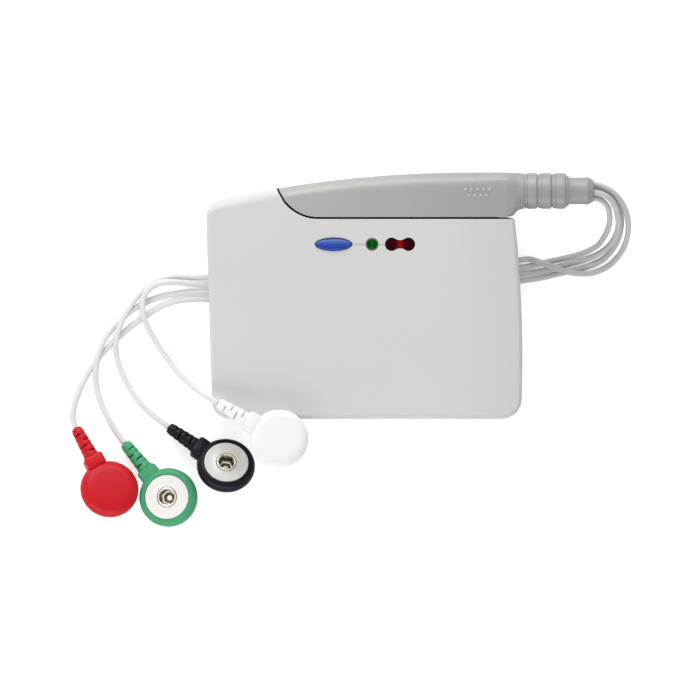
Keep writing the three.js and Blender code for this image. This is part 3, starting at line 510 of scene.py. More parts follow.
@dataclass(frozen=True)
class CircuitBoard(Finish):
    """Solder mask with faint tracks under it."""

    track: float = 1.6
    track_edge: Pair = (0.49, 0.52)
    track_depth: float = 0.02
    brighter: float = 1.6
    lift: float = 0.01
    gloss: float = 0.3
    gloss_roughness: float = 0.2
    rub: float = 3.0
    rougher: float = 0.1

    def material(self) -> bpy.types.Material:
        """Draws the mask over its tracks.

        Returns:
            The material.
        """
        sketch = Sketch(self.name)
        tracks = sketch.noise(self.track, 0.0, (6, 1, 1))
        base = linear(self.colour)
        bright = [min(c * self.brighter + self.lift, 1) for c in base[:3]] + [1]
        sketch.set(
            Coat_Weight=self.gloss, Coat_Roughness=self.gloss_roughness, IOR=PLASTIC_IOR,
            Base_Color=sketch.ramp(tracks, [(self.track_edge[0], base), (self.track_edge[1], bright)]),
            Roughness=sketch.spread(sketch.noise(self.rub), self.roughness, self.roughness + self.rougher),
        )
        sketch.bump(tracks, self.track_depth)
        return sketch.material


# Painted shade: the case darkens towards its right end, from X 10 to 40 mm.
CASE_PLASTIC = MouldedPlastic(
    "case_plastic", (216, 216, 214), 0.42, cloud=30, cloudiness=0.008, shine=0.2, painted_shade=("X", 10, 40, 0.9),
)
# Painted shade: the plug and its cable end darken towards the cable, from X -25 to 48 mm.
PLUG_PLASTIC = MouldedPlastic(
    "plug_plastic", (173, 172, 169), 0.4, cloudiness=0.012, shine=0.8, painted_shade=("X", -25, 48, 0.74),
)
# Painted highlight: the raised dots are coloured paler than the plug's own plastic.
DOT_HIGHLIGHT_GREY = MouldedPlastic("dot_painted_highlight", (184, 183, 180), 0.4, grain=0.2, grain_depth=0.004, cloud=2)
# Partly the seal's own black, partly painted shadow where the seam carries on past the seal.
SEAL_AND_SHADOW_BLACK = SoftRubber("seal_rubber", (14, 13, 14), 0.6, shine=0.1, dimple_depth=0.005)
FOOT_RUBBER = SoftRubber("foot_rubber", (46, 46, 48), 0.7, sheen=0.1)
# Painted highlight: a lighter band across the upper part of the button's cap, round Y 14.7 mm.
BUTTON_BLUE = ClearPlastic(
    "button_blue", (23, 65, 169), 0.2, painted_light_colour=(71, 99, 176), painted_light_from=0.3, painted_light_to=1.3, axis="Y", middle=14.7,
    shine=0.25,
)
# Painted shade: the dark blue under the button's cap stands for the shadowed gap round it.
SHADE_SKIRT_BLUE = MouldedPlastic("painted_gap_shade", (20, 24, 66), 0.4, grain=0.2, grain_depth=0.004, cloud=2)
# Painted light: the lens is lighter through its middle.
LENS_GREEN = ClearPlastic(
    "lens_green", (0, 50, 4), 0.14, painted_light_colour=(0, 94, 8), painted_light_from=0.3, painted_light_to=1.5, middle=-7.5, shine=0.05,
)
# Painted light: the window's waist is lighter than its darker ends.
WINDOW_RED = ClearPlastic(
    "window_red", (42, 0, 5), 0.14, painted_light_colour=(160, 5, 7), painted_light_from=0.1, painted_light_to=1.8, middle=0.1, shine=0.04,
)
BEZEL_GREY = MouldedPlastic("bezel_grey", (106, 110, 104), 0.35, grain=0.2, grain_depth=0.004, cloud=2)
PRINT_GREY = MouldedPlastic("print_grey", (194, 194, 191), 0.5, grain=0.2, grain_depth=0.004, cloud=2)
BOARD_MASK = CircuitBoard("board_mask", (28, 91, 52), 0.4)
CHIP_BLACK = MouldedPlastic(
    "chip_black", (32, 32, 34), 0.55, grain=0.15, grain_depth=0.01, cloud=3, cloudiness=0.06,
)
SPRING_STEEL = Metal("spring_steel", (196, 198, 200), 0.28, marks=(8, 1, 1))
# Painted shade down the stud well, and a painted reflection on its domed floor.
STUD_NICKEL = SocketMetal(
    "stud_nickel", (224, 220, 208), 0.13, tarnish=0.08, painted_well_shade=(92, 78, 50), floor=(240, 238, 230),
)
CONTACT_GOLD = Metal("contact_gold", (222, 178, 92), 0.25, marks=(6, 1, 1))
PLATE_SILVER = Metal(
    "plate_silver", (240, 239, 235), 0.4, mark_size=0.3, mark_shade_and_highlight=0.003, tarnish=0.015, metallic=0.2,
)
CELL_SLEEVE = MouldedPlastic(
    "cell_sleeve", (58, 74, 92), 0.28, grain_depth=0.0, cloud=8, cloudiness=0.05, coat=0.3,
)
# Painted shade: the jackets darken in their loops beside the plug, from X 30 to 44 mm.
JACKET = SoftRubber(
    "lead_jacket", (232, 232, 230), 0.4, cloudiness=0.01, dimple=1.4, dimple_depth=0.012,
    painted_shade=("X", 30, 44, 0.77),
)
SNAP_FINISHES = {
    LeadColour.WHITE: SoftRubber("snap_white", (247, 247, 248), 0.4, cloudiness=0.004, dimple_depth=0.006),
    LeadColour.BLACK: SoftRubber("snap_black", (17, 15, 27), 0.3, shine=0.16, dimple_depth=0.015),
    LeadColour.GREEN: SoftRubber("snap_green", (72, 165, 116), 0.34, dimple_depth=0.012),
    LeadColour.RED: SoftRubber("snap_red", (205, 20, 36), 0.34, shine=0.2, dimple_depth=0.012),
}


class Paints:
    """Draws each finish once and hands it out."""

    def __init__(self) -> None:
        """Starts with no material drawn."""
        self.drawn: dict[str, bpy.types.Material] = {}

    def coat(self, piece: Piece, finish: Finish) -> None:
        """Gives a piece its finish as its only material.

        Args:
            piece: The piece, or a solid's object.
            finish: The finish.
        """
        if finish.name not in self.drawn:
            self.drawn[finish.name] = finish.material()
        material = self.drawn[finish.name]
        if piece.material_slots:
            for slot in piece.material_slots:
                slot.material = material
        else:
            piece.data.materials.append(material)


PAINTS = Paints()


# Modelling by hand


def deselect() -> None:
    """Leaves edit mode and deselects everything."""
    if bpy.context.object and bpy.context.object.mode != "OBJECT":
        bpy.ops.object.mode_set(mode="OBJECT")
    bpy.ops.object.select_all(action="DESELECT")


def activate(piece: Piece) -> None:
    """Makes a piece the only selected one.

    Args:
        piece: The piece.
    """
    deselect()
    piece.select_set(True)
    bpy.context.view_layer.objects.active = piece


def edit(piece: Piece) -> None:
    """Opens a piece in edit mode with all of it selected.

    Args:
        piece: The piece.
    """
    activate(piece)
    bpy.ops.object.mode_set(mode="EDIT")
    bpy.ops.mesh.select_all(action="SELECT")


def settle(piece: Piece, matrix: Matrix | None = None) -> None:
    """Puts a piece where it belongs and moves its place into its mesh.

    Args:
        piece: The piece, modelled in millimetres round the origin.
        matrix: Its place in millimetres, or None where it is modelled in place.
    """
    activate(piece)
    bpy.ops.object.transform_apply(location=True, rotation=True, scale=True)
    piece.data.transform(Matrix.Scale(MM, 4) @ (matrix or Matrix.Identity(4)))
    piece.data.update()


def apply_modifier(piece: Piece, kind: str, **settings: object) -> None:
    """Adds a modifier and applies it.

    Args:
        piece: The piece.
        kind: The modifier's type.
        **settings: Its settings.
    """
    activate(piece)
    modifier = piece.modifiers.new(kind.lower(), kind)
    for name, value in settings.items():
        setattr(modifier, name, value)
    bpy.ops.object.modifier_apply(modifier=modifier.name)


def tidy_mesh(piece: Piece, distance: float, normals: bool = True) -> None:
    """Merges doubles and turns the faces outwards.

    Args:
        piece: The piece.
        distance: How near two points are to be one, in the piece's own unit.
        normals: Whether the faces are turned outwards too.
    """
    edit(piece)
    bpy.ops.mesh.remove_doubles(threshold=distance)
    if normals:
        bpy.ops.mesh.normals_make_consistent(inside=False)
    bpy.ops.object.mode_set(mode="OBJECT")


def smooth(piece: Piece, degrees: float) -> None:
    """Shades a piece smooth up to an angle.

    Args:
        piece: The piece.
        degrees: Edges sharper than this stay sharp.
    """
    activate(piece)
    bpy.ops.object.shade_smooth_by_angle(angle=math.radians(degrees))


def bevel_by_angle(piece: Piece, width: float, segments: int = 2, degrees: float = 40.0) -> None:
    """Rounds the sharp edges of a piece.

    Args:
        piece: The piece.
        width: The rounding's width, in the piece's own unit.
        segments: Its steps.
        degrees: Edges sharper than this are rounded.
    """
    apply_modifier(
        piece, "BEVEL", width=width, segments=segments, limit_method="ANGLE",
        angle_limit=math.radians(degrees), harden_normals=False,
    )


def turned(name: str, profile: Profile, segments: int) -> Piece:
    """Turns a profile about Z by extruding a circle from point to point.

    Args:
        name: The piece's name.
        profile: Radius and height of each point. It starts and ends on the axis, or closes on itself.
        segments: Steps round the axis.

    Returns:
        The piece, in millimetres round the origin.
    """
    least = 1e-3
    radius, height = profile[0]
    radius = max(radius, least)
    deselect()
    bpy.ops.mesh.primitive_circle_add(vertices=segments, radius=radius, location=(0, 0, height))
    piece = bpy.context.object
    piece.name = name
    bpy.ops.object.mode_set(mode="EDIT")
    bpy.ops.mesh.select_all(action="SELECT")
    for next_radius, next_height in profile[1:]:
        next_radius = max(next_radius, least)
        bpy.ops.mesh.extrude_edges_move(TRANSFORM_OT_translate={"value": (0, 0, next_height - height)})
        scale = next_radius / radius
        bpy.ops.transform.resize(value=(scale, scale, 1), center_override=(0, 0, next_height))
        radius, height = next_radius, next_height
    bpy.ops.object.mode_set(mode="OBJECT")
    bpy.ops.object.transform_apply(location=True)
    tidy_mesh(piece, 3 * least)
    return piece


def arc(centre: Pair, radii: Pair, start: float, end: float, steps: int) -> Profile:
    """Lists points along a quarter round of a profile.

    Args:
        centre: Its centre as radius and height.
        radii: Its half widths along both.
        start: The first angle in degrees, 0 outwards and 90 up.
        end: The last angle.
        steps: How many steps it has.

    Returns:
        The points.
    """
    angles = [math.radians(start + (end - start) * i / steps) for i in range(steps + 1)]
    return [(centre[0] + radii[0] * math.cos(a), centre[1] + radii[1] * math.sin(a)) for a in angles]


def block(name: str, low: Point, high: Point) -> Piece:
    """Adds a block between two corners.

    Args:
        name: The piece's name.
        low: Its lowest corner in millimetres.
        high: Its highest corner.

    Returns:
        The piece, in millimetres round the origin.
    """
    deselect()
    middle = [(a + b) / 2 for a, b in zip(low, high)]
    bpy.ops.mesh.primitive_cube_add(size=1, location=middle, scale=[b - a for a, b in zip(low, high)])
    piece = bpy.context.object
    piece.name = name
    bpy.ops.object.transform_apply(location=True, rotation=True, scale=True)
    return piece


def boolean(piece: Piece, tool: Piece, operation: str) -> None:
    """Joins or cuts a piece with a tool, which is used up.

    Args:
        piece: The piece.
        tool: The other closed shape.
        operation: UNION or DIFFERENCE.
    """
    apply_modifier(piece, "BOOLEAN", object=tool, operation=operation, solver="EXACT")
    bpy.data.objects.remove(tool, do_unlink=True)


def along_x(axis_y: float, axis_z: float) -> Matrix:
    """Turns a piece that is modelled about Z to lie along X, by the Y and Z of its new axis."""
    return Matrix.Translation((0, axis_y, axis_z)) @ Matrix.Rotation(math.pi / 2, 4, "Y")


def copied(piece: Piece, name: str) -> Piece:
    """Copies a piece, with a mesh of its own.

    Args:
        piece: The piece.
        name: The copy's name.

    Returns:
        The copy.
    """
    copy = bpy.data.objects.new(name, piece.data.copy())
    bpy.context.scene.collection.objects.link(copy)
    return copy


def solid_copy(node: str, name: str, merge: float = 2e-6, flat: float = 0.4) -> Piece:
    """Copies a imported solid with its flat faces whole, to be finished and shown in its place.

    Args:
        node: The solid's name.
        name: The new piece's name.
        merge: How near two points are to be one, in metres.
        flat: Faces that meet at less than this angle in degrees become one.

    Returns:
        The piece, in metres.
    """
    piece = copied(bpy.data.objects[node], name)
    piece.data.materials.clear()
    tidy_mesh(piece, merge, normals=False)
    edit(piece)
    bpy.ops.mesh.dissolve_limited(angle_limit=math.radians(flat))
    bpy.ops.object.mode_set(mode="OBJECT")
    return piece


def report(piece: Piece, note: str) -> None:
    """Logs a finished piece.

    Args:
        piece: The piece.
        note: What it is.
    """
    LOG.info("%-24s %6d faces  %s", piece.name, len(piece.data.polygons), note)


def dress(piece: Piece, finish: Finish, body: Body, note: str, replaces: str = "") -> None:
    """Gives a placed piece its finish and its body, and reports it.

    Args:
        piece: The piece.
        finish: Its finish.
        body: The body that it rides on.
        note: What it is.
        replaces: The solid that it is shown instead of, if there is one.
    """
    PAINTS.coat(piece, finish)
    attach(piece, body.value)
    if replaces:
        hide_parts(replaces)
    report(piece, note)


@dataclass
class Lead:
    """One patient lead: a limp cord from the ferrule under the case to its snap head."""

    colour: LeadColour
    loop: list[Point]
    run: list[Point]
    diameter: float = 1.6
    sides: int = 4
    steps: int = 6
    merge: float = 1e-4
    smooth_to: float = 60.0
    follow_from: float = 20.0
    follow_to: float = 10.0

    def route(self) -> list[Vector]:
        """Joins loop and run into one smooth line.

        Returns:
            Closely spaced points in metres.
        """
        chosen = [Vector(p) * MM for p in self.loop + self.run[1:]]
        ends = [chosen[0] * 2 - chosen[1], chosen[-1] * 2 - chosen[-2]]
        line = [ends[0], *chosen, ends[1]]
        points: list[Vector] = []
        for i in range(1, len(line) - 2):
            points += [self.between(line[i - 1:i + 3], step / self.steps) for step in range(self.steps)]
        points.append(line[-2])
        for point in points:
            point.z = max(point.z, self.diameter / 2 * MM)
        return points

    @staticmethod
    def between(four: list[Vector], share: float) -> Vector:
        """Finds a point between the middle two of four, on the curve through all.

        Args:
            four: The points.
            share: How far it is from the second to the third.

        Returns:
            The point.
        """
        knots = [0.0]
        for a, b in zip(four, four[1:]):
            knots.append(knots[-1] + math.sqrt((b - a).length))
        t = knots[1] + (knots[2] - knots[1]) * share

        def blend(a: Vector, b: Vector, low: float, high: float) -> Vector:
            """Mixes two points by where t is between two knots."""
            return a.lerp(b, (t - low) / (high - low))

        first = [blend(four[i], four[i + 1], knots[i], knots[i + 1]) for i in range(3)]
        second = [blend(first[i], first[i + 1], knots[i], knots[i + 2]) for i in range(2)]
        return blend(second[0], second[1], knots[1], knots[2])

    def build(self) -> Piece:
        """Makes the jacket as a tube along the route.

        Returns:
            The lead.
        """
        colour = self.colour.value
        points = self.route()
        curve = bpy.data.curves.new(f"lead_{colour}", "CURVE")
        curve.dimensions = "3D"
        curve.bevel_depth = self.diameter * MM / 2
        curve.bevel_resolution = self.sides
        curve.use_fill_caps = True
        spline = curve.splines.new("POLY")
        spline.points.add(len(points) - 1)
        for place, point in zip(spline.points, points):
            place.co = (*point, 1)
        piece = bpy.data.objects.new(f"lead_{colour}", curve)
        bpy.context.scene.collection.objects.link(piece)
        activate(piece)
        bpy.ops.object.convert(target="MESH")
        tidy_mesh(piece, self.merge * MM, normals=False)
        smooth(piece, self.smooth_to)
        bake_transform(piece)
        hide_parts(f"lead_loop_{colour}", f"lead_run_{colour}")
        PAINTS.coat(piece, JACKET)
        report(piece, f"{colour} lead")
        return piece

    def declare(self, piece: Piece, with_pieces: Iterable[Piece]) -> None:
        """Args:
            piece: The lead. Not used.
            with_pieces: The pieces of its snap head. Not used.
        """
        points = self.route()


@dataclass
class SnapHead:
    """A snap head: a soft overmould with its boot, a contact plate and a socket for a stud."""

    colour: LeadColour
    x: float
    y: float
    yaw: float
    pitch: float
    roll: float
    face_up: bool
    radius: float = 7.9
    thickness: float = 5.2
    crown: float = 2.2
    crown_reach: float = 0.4
    back_rise: float = 0.1
    rim: float = 1.6
    rim_depth: float = 1.6
    plate_radius: float = 6.0
    plate_thickness: float = 0.6
    plate_edge: float = 0.12
    plate_step: float = 0.05
    brim: float = 0.5
    brim_slope: float = 0.15
    lip: float = 0.35
    lip_slope: float = 0.2
    lip_edge: float = 0.08
    edge_break: float = 0.15
    eyelet_radius: float = 2.65
    eyelet_rise: float = 0.15
    stud_bore: float = 2.05
    stud_depth: float = 3.2
    under_stud: float = 1.0
    bore_lip: float = 0.8
    well_radius: float = 2.28
    well_length: float = 6.0
    well_floor: float = 0.5
    well_sides: int = 6
    well_round: float = 0.35
    dome_radius: float = 1.6
    dome_height: float = 0.8
    dome_foot: float = 0.3
    painted_highlight_share: float = 0.8
    depth_reach: float = 0.3
    boot_length: float = 11.2
    boot_tip: float = 1.45
    boot_root: float = 2.15
    boot_sink: float = 0.6
    boot_round: float = 0.09
    tip_shape: tuple[Pair, ...] = ((-0.35, 0.0), (-0.08, 0.1), (0.0, 0.4))
    collar_width: float = 5.4
    collar_length: float = 3.0
    collar_round: float = 0.8
    slit_width: float = 0.42
    slit_pitch: float = 1.75
    slit_start: float = 2.05
    slit_reach: float = 4.0
    slit_past_middle: float = 0.2
    slits: int = 4
    web: float = 0.3
    round_from: float = 50.0
    bulge: float = 0.1
    bulge_shape: tuple[Pair, ...] = ((0.0, -0.04), (0.25, 0.8), (0.5, 1.0), (0.75, 0.8), (1.0, -0.04))
    seat: float = 0.12
    smooth_to: float = 38.0
    plate_smooth_to: float = 30.0
    socket_smooth_to: float = 32.0

    def turn(self) -> Matrix:
        """Turns the head as it lies.

        Returns:
            The rotation.
        """
        flip = 0 if self.face_up else 180
        yaw = Matrix.Rotation(math.radians(self.yaw), 4, "Z")
        pitch = Matrix.Rotation(math.radians(-self.pitch), 4, "Y")
        return yaw @ pitch @ Matrix.Rotation(math.radians(self.roll + flip), 4, "X")

    def place(self, overmould: Piece) -> Matrix:
        """Finds where the head lies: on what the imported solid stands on.

        Args:
            overmould: The overmould, still round the origin.

        Returns:
            The place in millimetres.
        """
        turn = self.turn()
        stands_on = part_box(f"snap_{self.colour.value}")[0].z / MM
        lowest = min((turn @ vertex.co).z for vertex in overmould.data.vertices)
        return Matrix.Translation((self.x, self.y, stands_on - lowest)) @ turn

    def well(self) -> float:
        """Finds how low the overmould's hole for the socket reaches, a little under the stud."""
        return self.thickness / 2 - self.stud_depth - self.under_stud

    def head_profile(self) -> Profile:
        """Draws the overmould's section.

        Returns:
            Radius and height of each point, from the middle of its back to the well for the socket.
        """
        half = self.thickness / 2
        back = -half + self.back_rise
        back_flat = self.radius - self.crown - self.crown_reach
        plate_seat = half - self.plate_thickness - 2 * self.seat
        plate_hole = self.plate_radius + self.seat
        socket_hole = self.eyelet_radius + self.seat
        return [
            (0, -half), (back_flat * 0.5, -half + self.back_rise / 5), (back_flat, back),
            *arc((back_flat, back + self.crown), (self.radius - back_flat, self.crown), -78, 0, 9),
            *arc((self.radius - self.rim, half - self.rim_depth), (self.rim, self.rim_depth), 0, 90, 7),
            (plate_hole + self.edge_break, half), (plate_hole, half - self.edge_break),
            (plate_hole, plate_seat), (socket_hole, plate_seat), (socket_hole, self.well()), (0, self.well()),
        ]

    def tip(self) -> float:
        """Finds where the boot's thin end is."""
        return -(self.radius + self.boot_length)

    def root(self) -> float:
        """Finds where the boot ends inside the disc."""
        return -(self.radius - self.boot_sink)

    def boot_profile(self) -> Profile:
        """Draws the boot's section, bulging a little between its slits.

        Returns:
            Radius and place of each point.
        """
        tip, root = self.tip(), self.root()
        thin = self.boot_tip
        points = [(0, tip), *((thin + wider, tip + along) for wider, along in self.tip_shape)]
        for i in range(self.slits + 1):
            start = tip + self.slit_start + (i - 1) * self.slit_pitch + self.slit_width
            end = start + self.slit_pitch - self.slit_width
            for share, rise in self.bulge_shape:
                place = start + (end - start) * share
                base = thin + (self.boot_root - thin) * (place - tip) / (root - tip)
                points.append((base + self.bulge * rise, place))
        return points + [(self.boot_root, root), (0, root)]

    def build_boot(self) -> Piece:
        """Models the boot with its flex slits, which leave a web in the middle.

        Returns:
            The boot.
        """
        boot = turned("boot_pattern", self.boot_profile(), 36)
        boot.matrix_world = Matrix.Rotation(math.pi / 2, 4, "Y")
        activate(boot)
        bpy.ops.object.transform_apply(rotation=True)
        for i in range(self.slits):
            start = self.tip() + self.slit_start + i * self.slit_pitch
            side = 1 if i % 2 == 0 else -1
            low_y, high_y = sorted((-self.slit_past_middle * side, self.slit_reach * side))
            for low_z, high_z in ((-self.slit_reach, -self.web), (self.web, self.slit_reach)):
                slit = block("slit", (start, low_y, low_z), (start + self.slit_width, high_y, high_z))
                boolean(boot, slit, "DIFFERENCE")
        bevel_by_angle(boot, self.boot_round, 2, self.round_from)
        return boot

    def build_overmould(self, boot: Piece) -> Piece:
        """Models the disc and the collar, and joins them with a copy of the boot.

        Args:
            boot: The boot that is copied.

        Returns:
            The overmould.
        """
        head = turned(f"overmould_{self.colour.value}", self.head_profile(), 72)
        root = self.root()
        collar = block(
            "collar", (root - self.collar_length, -self.collar_width / 2, -self.boot_root),
            (root + self.boot_sink, self.collar_width / 2, self.boot_root),
        )
        bevel_by_angle(collar, self.collar_round, 4)
        boolean(head, copied(boot, "boot"), "UNION")
        boolean(head, collar, "UNION")
        smooth(head, self.smooth_to)
        return head

    def build_plate(self) -> Piece:
        """Models the contact plate, a ring with a soft outer edge and a raised lip round the socket.

        Returns:
            The plate.
        """
        low = self.thickness / 2 - self.plate_thickness - self.seat
        high = low + self.plate_thickness
        sunk = high - self.plate_step
        inner = self.eyelet_radius + self.seat
        outer = self.plate_radius
        brim = outer - self.brim
        lip = inner + self.lip
        plate = turned("plate_pattern", [
            (inner, low), (outer, low), (outer, high - self.plate_edge), (outer - self.plate_edge, high),
            (brim, high), (brim - self.brim_slope, sunk), (lip + self.lip_slope, sunk), (lip, high),
            (inner + self.lip_edge, high), (inner, high - self.lip_edge), (inner, low),
        ], 72)
        smooth(plate, self.plate_smooth_to)
        return plate

    def build_socket(self) -> Piece:
        """Models the stud socket with its rolled rim and the six springy sides of its well.

        Returns:
            The socket.
        """
        top = self.thickness / 2 + self.eyelet_rise
        low = self.well() + self.seat
        floor = low + self.well_floor
        bore_end = top - self.bore_lip
        rolled = (self.eyelet_radius - self.stud_bore) / 2
        middle = (self.eyelet_radius + self.stud_bore) / 2
        socket = turned("socket_pattern", [
            (0, low), (self.eyelet_radius, low), *arc((middle, top - rolled), (rolled, rolled), 0, 180, 8),
            (self.stud_bore, bore_end), (0, bore_end),
        ], 60)
        deselect()
        bpy.ops.mesh.primitive_cylinder_add(
            vertices=self.well_sides, radius=self.well_radius, depth=self.well_length,
            location=(0, 0, floor + self.well_length / 2),
        )
        well = bpy.context.object
        bpy.ops.object.transform_apply(location=True)
        bevel_by_angle(well, self.well_round, 3, self.round_from)
        boolean(socket, well, "DIFFERENCE")
        dome = turned("dome", [
            (0, floor - self.dome_foot), (self.dome_radius, floor - self.dome_foot),
            *arc((0, floor), (self.dome_radius, self.dome_height), 0, 84, 8), (0, floor + self.dome_height),
        ], 40)
        boolean(socket, dome, "UNION")
        smooth(socket, self.socket_smooth_to)
        self.mark_shade_and_highlight(socket, top, floor)
        return socket

    def mark_shade_and_highlight(self, socket: Piece, top: float, floor: float) -> None:
        """Writes into the socket's mesh how far down the well each point is, as the mask for the painted
        shade in the well and the painted highlight on its dome.

        Args:
            socket: The socket, in millimetres.
            top: The height where the mask is 0.
            floor: The height where it is 1. The middle of the dome has 1 too, for its painted highlight.
        """
        depth = socket.data.attributes.new(SHADE_AND_HIGHLIGHT_MASK, "FLOAT", "POINT")
        for vertex, value in zip(socket.data.vertices, depth.data):
            reach = vertex.co.xy.length
            # Painted highlight: the middle of the dome takes the painted reflection.
            if reach < self.dome_radius * self.painted_highlight_share:
                value.value = 1.0
            elif reach < self.stud_bore + self.depth_reach:
                value.value = (top - vertex.co.z) / (top - floor)

    def build(self, boot: Piece, plate: Piece, socket: Piece) -> list[Piece]:
        """Models the overmould, and places and dresses it with a copy of the plate and the socket.

        Args:
            boot: The boot that is copied, round the origin as the others are.
            plate: The plate that is copied.
            socket: The socket that is copied.

        Returns:
            The head's pieces.
        """
        colour = self.colour.value
        overmould = self.build_overmould(boot)
        place = self.place(overmould)
        made = [
            (overmould, SNAP_FINISHES[self.colour], "snap", f"snap_{colour}"),
            (copied(plate, f"contact_plate_{colour}"), PLATE_SILVER, "plate", "contact_plate"),
            (copied(socket, f"stud_socket_{colour}"), STUD_NICKEL, "socket", "eyelet"),
        ]
        for piece, finish, node, slot in made:
            settle(piece, place)
            dress(piece, finish, Body.CASE, f"{colour} {node}", replaces=f"{node}_{colour}")
        return [piece for piece, *_ in made]


@dataclass
class Harness:
    """The four leads with their heads."""

    leads: list[Lead]
    heads: list[SnapHead]

    def build(self) -> None:
        first = self.heads[0]
        patterns = [first.build_boot(), first.build_plate(), first.build_socket()]
        for lead, head in zip(self.leads, self.heads):
            lead.declare(lead.build(), head.build(*patterns))
        for pattern in patterns:
            bpy.data.objects.remove(pattern, do_unlink=True)


BLACK_LEAD = Lead(
    LeadColour.BLACK,
    loop=[
        (51.0, 30.1, 16.6), (53.6, 29.9, 16.5), (57.3, 28.1, 15.2), (60.2, 24.7, 12.5), (61.6, 20.3, 8.6),
        (61.4, 15.9, 5.0), (59.6, 11.5, 2.6), (56.0, 7.8, 1.3), (51.6, 6.1, 1.3), (47.4, 6.1, 2.4),
        (43.8, 6.9, 2.7), (40.4, 8.1, 2.75), (37.0, 9.4, 2.5), (34.5, 9.9, 1.2),
    ],
    run=[
        (34.1, 9.9, 1.05), (31.0, 9.4, 0.85), (5.0, 7.9, 0.85), (-22.0, 6.4, 0.85), (-47.0, 5.1, 0.85),
        (-55.5, 5.0, 0.85), (-61.5, 5.1, 0.85), (-65.3, 4.1, 0.85), (-68.9, 1.8, 0.9), (-71.4, -0.8, 1.6),
        (-73.2, -3.4, 2.5), (-75.2, -7.0, 2.7), (-76.6, -12.2, 2.65), (-76.3, -17.0, 1.2),
        (-74.2, -22.6, 0.85), (-70.6, -28.4, 0.9), (-66.4, -32.5, 0.87), (-62.51, -35.44, 1.19),
    ],
)
WHITE_LEAD = Lead(
    LeadColour.WHITE,
    loop=[
        (51.0, 26.6, 16.55), (52.19, 26.48, 16.43), (53.32, 26.19, 16.14), (54.33, 25.74, 15.69),
        (55.18, 25.14, 15.09), (55.84, 24.36, 14.31), (56.36, 23.25, 13.15), (56.62, 21.7, 11.5),
        (56.6, 19.8, 9.4), (56.1, 17.8, 7.1), (55.1, 15.8, 4.9), (53.6, 13.8, 2.75), (51.2, 12.3, 1.55),
        (48.4, 11.2, 0.97), (44.9, 10.25, 0.85), (41.0, 9.4, 0.85), (37.6, 8.6, 0.85), (34.5, 7.9, 0.85),
    ],
    run=[
        (34.1, 7.8, 0.85), (31.0, 7.5, 0.85), (5.0, 6.0, 0.85), (-22.0, 4.4, 0.85), (-47.0, 3.1, 0.85),
        (-52.5, 2.9, 0.95), (-57.2, 3.3, 1.6), (-61.2, 3.7, 2.4), (-65.2, 3.3, 2.7), (-68.4, 1.1, 2.7),
        (-69.5, -2.3, 2.65), (-69.2, -5.6, 2.65), (-67.6, -9.4, 1.6), (-64.9, -13.9, 0.85),
        (-62.2, -17.8, 1.0), (-60.1, -20.4, 2.1), (-58.3, -22.2, 4.7), (-56.5, -23.9, 8.8),
        (-54.9, -25.2, 13.8), (-54.05, -25.9, 18.0), (-53.5, -26.3, 21.3), (-53.05, -26.6, 22.6),
        (-52.35, -27.0, 23.55), (-51.42, -27.57, 24.25), (-50.37, -28.18, 24.7), (-49.27, -28.83, 24.94),
    ],
)
GREEN_LEAD = Lead(
    LeadColour.GREEN,
    loop=[
        (51.0, 27.9, 17.9), (52.4, 27.88, 17.88), (53.9, 27.6, 17.6), (55.4, 27.0, 17.0), (56.8, 26.0, 16.05),
        (57.9, 24.4, 14.6), (58.6, 22.3, 12.6), (59.0, 19.8, 10.0), (58.6, 17.0, 7.2), (56.8, 13.9, 4.1),
        (53.8, 11.4, 1.9), (50.2, 9.85, 0.97), (46.2, 8.7, 0.85), (42.0, 7.6, 0.85), (37.8, 6.6, 0.85),
        (34.5, 6.1, 0.85),
    ],
    run=[
        (34.1, 6.0, 0.85), (31.0, 5.7, 0.85), (5.0, 4.1, 0.85), (-22.0, 2.4, 0.85), (-47.0, 1.0, 0.85),
        (-57.0, 0.9, 0.85), (-61.6, 0.4, 0.85), (-65.4, -0.5, 0.85), (-69.2, -2.1, 0.85), (-73.2, -4.5, 0.85),
        (-77.0, -8.1, 0.9), (-79.9, -12.0, 1.8), (-81.4, -15.7, 2.65), (-82.0, -19.2, 2.3),
        (-82.0, -23.6, 1.0), (-80.9, -28.4, 0.85), (-78.6, -33.3, 0.9), (-76.3, -37.2, 0.9),
        (-74.38, -39.70, 1.25),
    ],
)
RED_LEAD = Lead(
    LeadColour.RED,
    loop=[
        (51.0, 28.8, 15.3), (54.6, 28.2, 14.8), (57.9, 25.9, 12.4), (59.6, 22.1, 8.7), (59.6, 17.7, 4.6),
        (57.9, 13.2, 2.1), (54.8, 9.9, 1.1), (51.0, 8.0, 0.85), (46.9, 6.9, 0.85), (42.2, 5.8, 0.85),
        (37.8, 4.8, 0.85), (34.5, 4.3, 0.85),
    ],
    run=[
        (34.1, 4.2, 0.85), (31.0, 3.9, 0.85), (5.0, 2.2, 0.85), (-22.0, 0.5, 0.85), (-47.0, -0.9, 0.85),
        (-56.8, -1.0, 0.85), (-61.2, -1.7, 0.85), (-64.6, -3.0, 0.85), (-68.2, -5.1, 0.85),
        (-72.0, -7.9, 0.85), (-75.8, -11.1, 0.85), (-79.4, -14.6, 0.85), (-82.3, -18.0, 0.85),
        (-84.9, -22.2, 0.85), (-87.0, -26.8, 0.85), (-88.1, -30.4, 0.85), (-88.3, -33.3, 0.9),
        (-87.53, -35.64, 1.17),
    ],
)
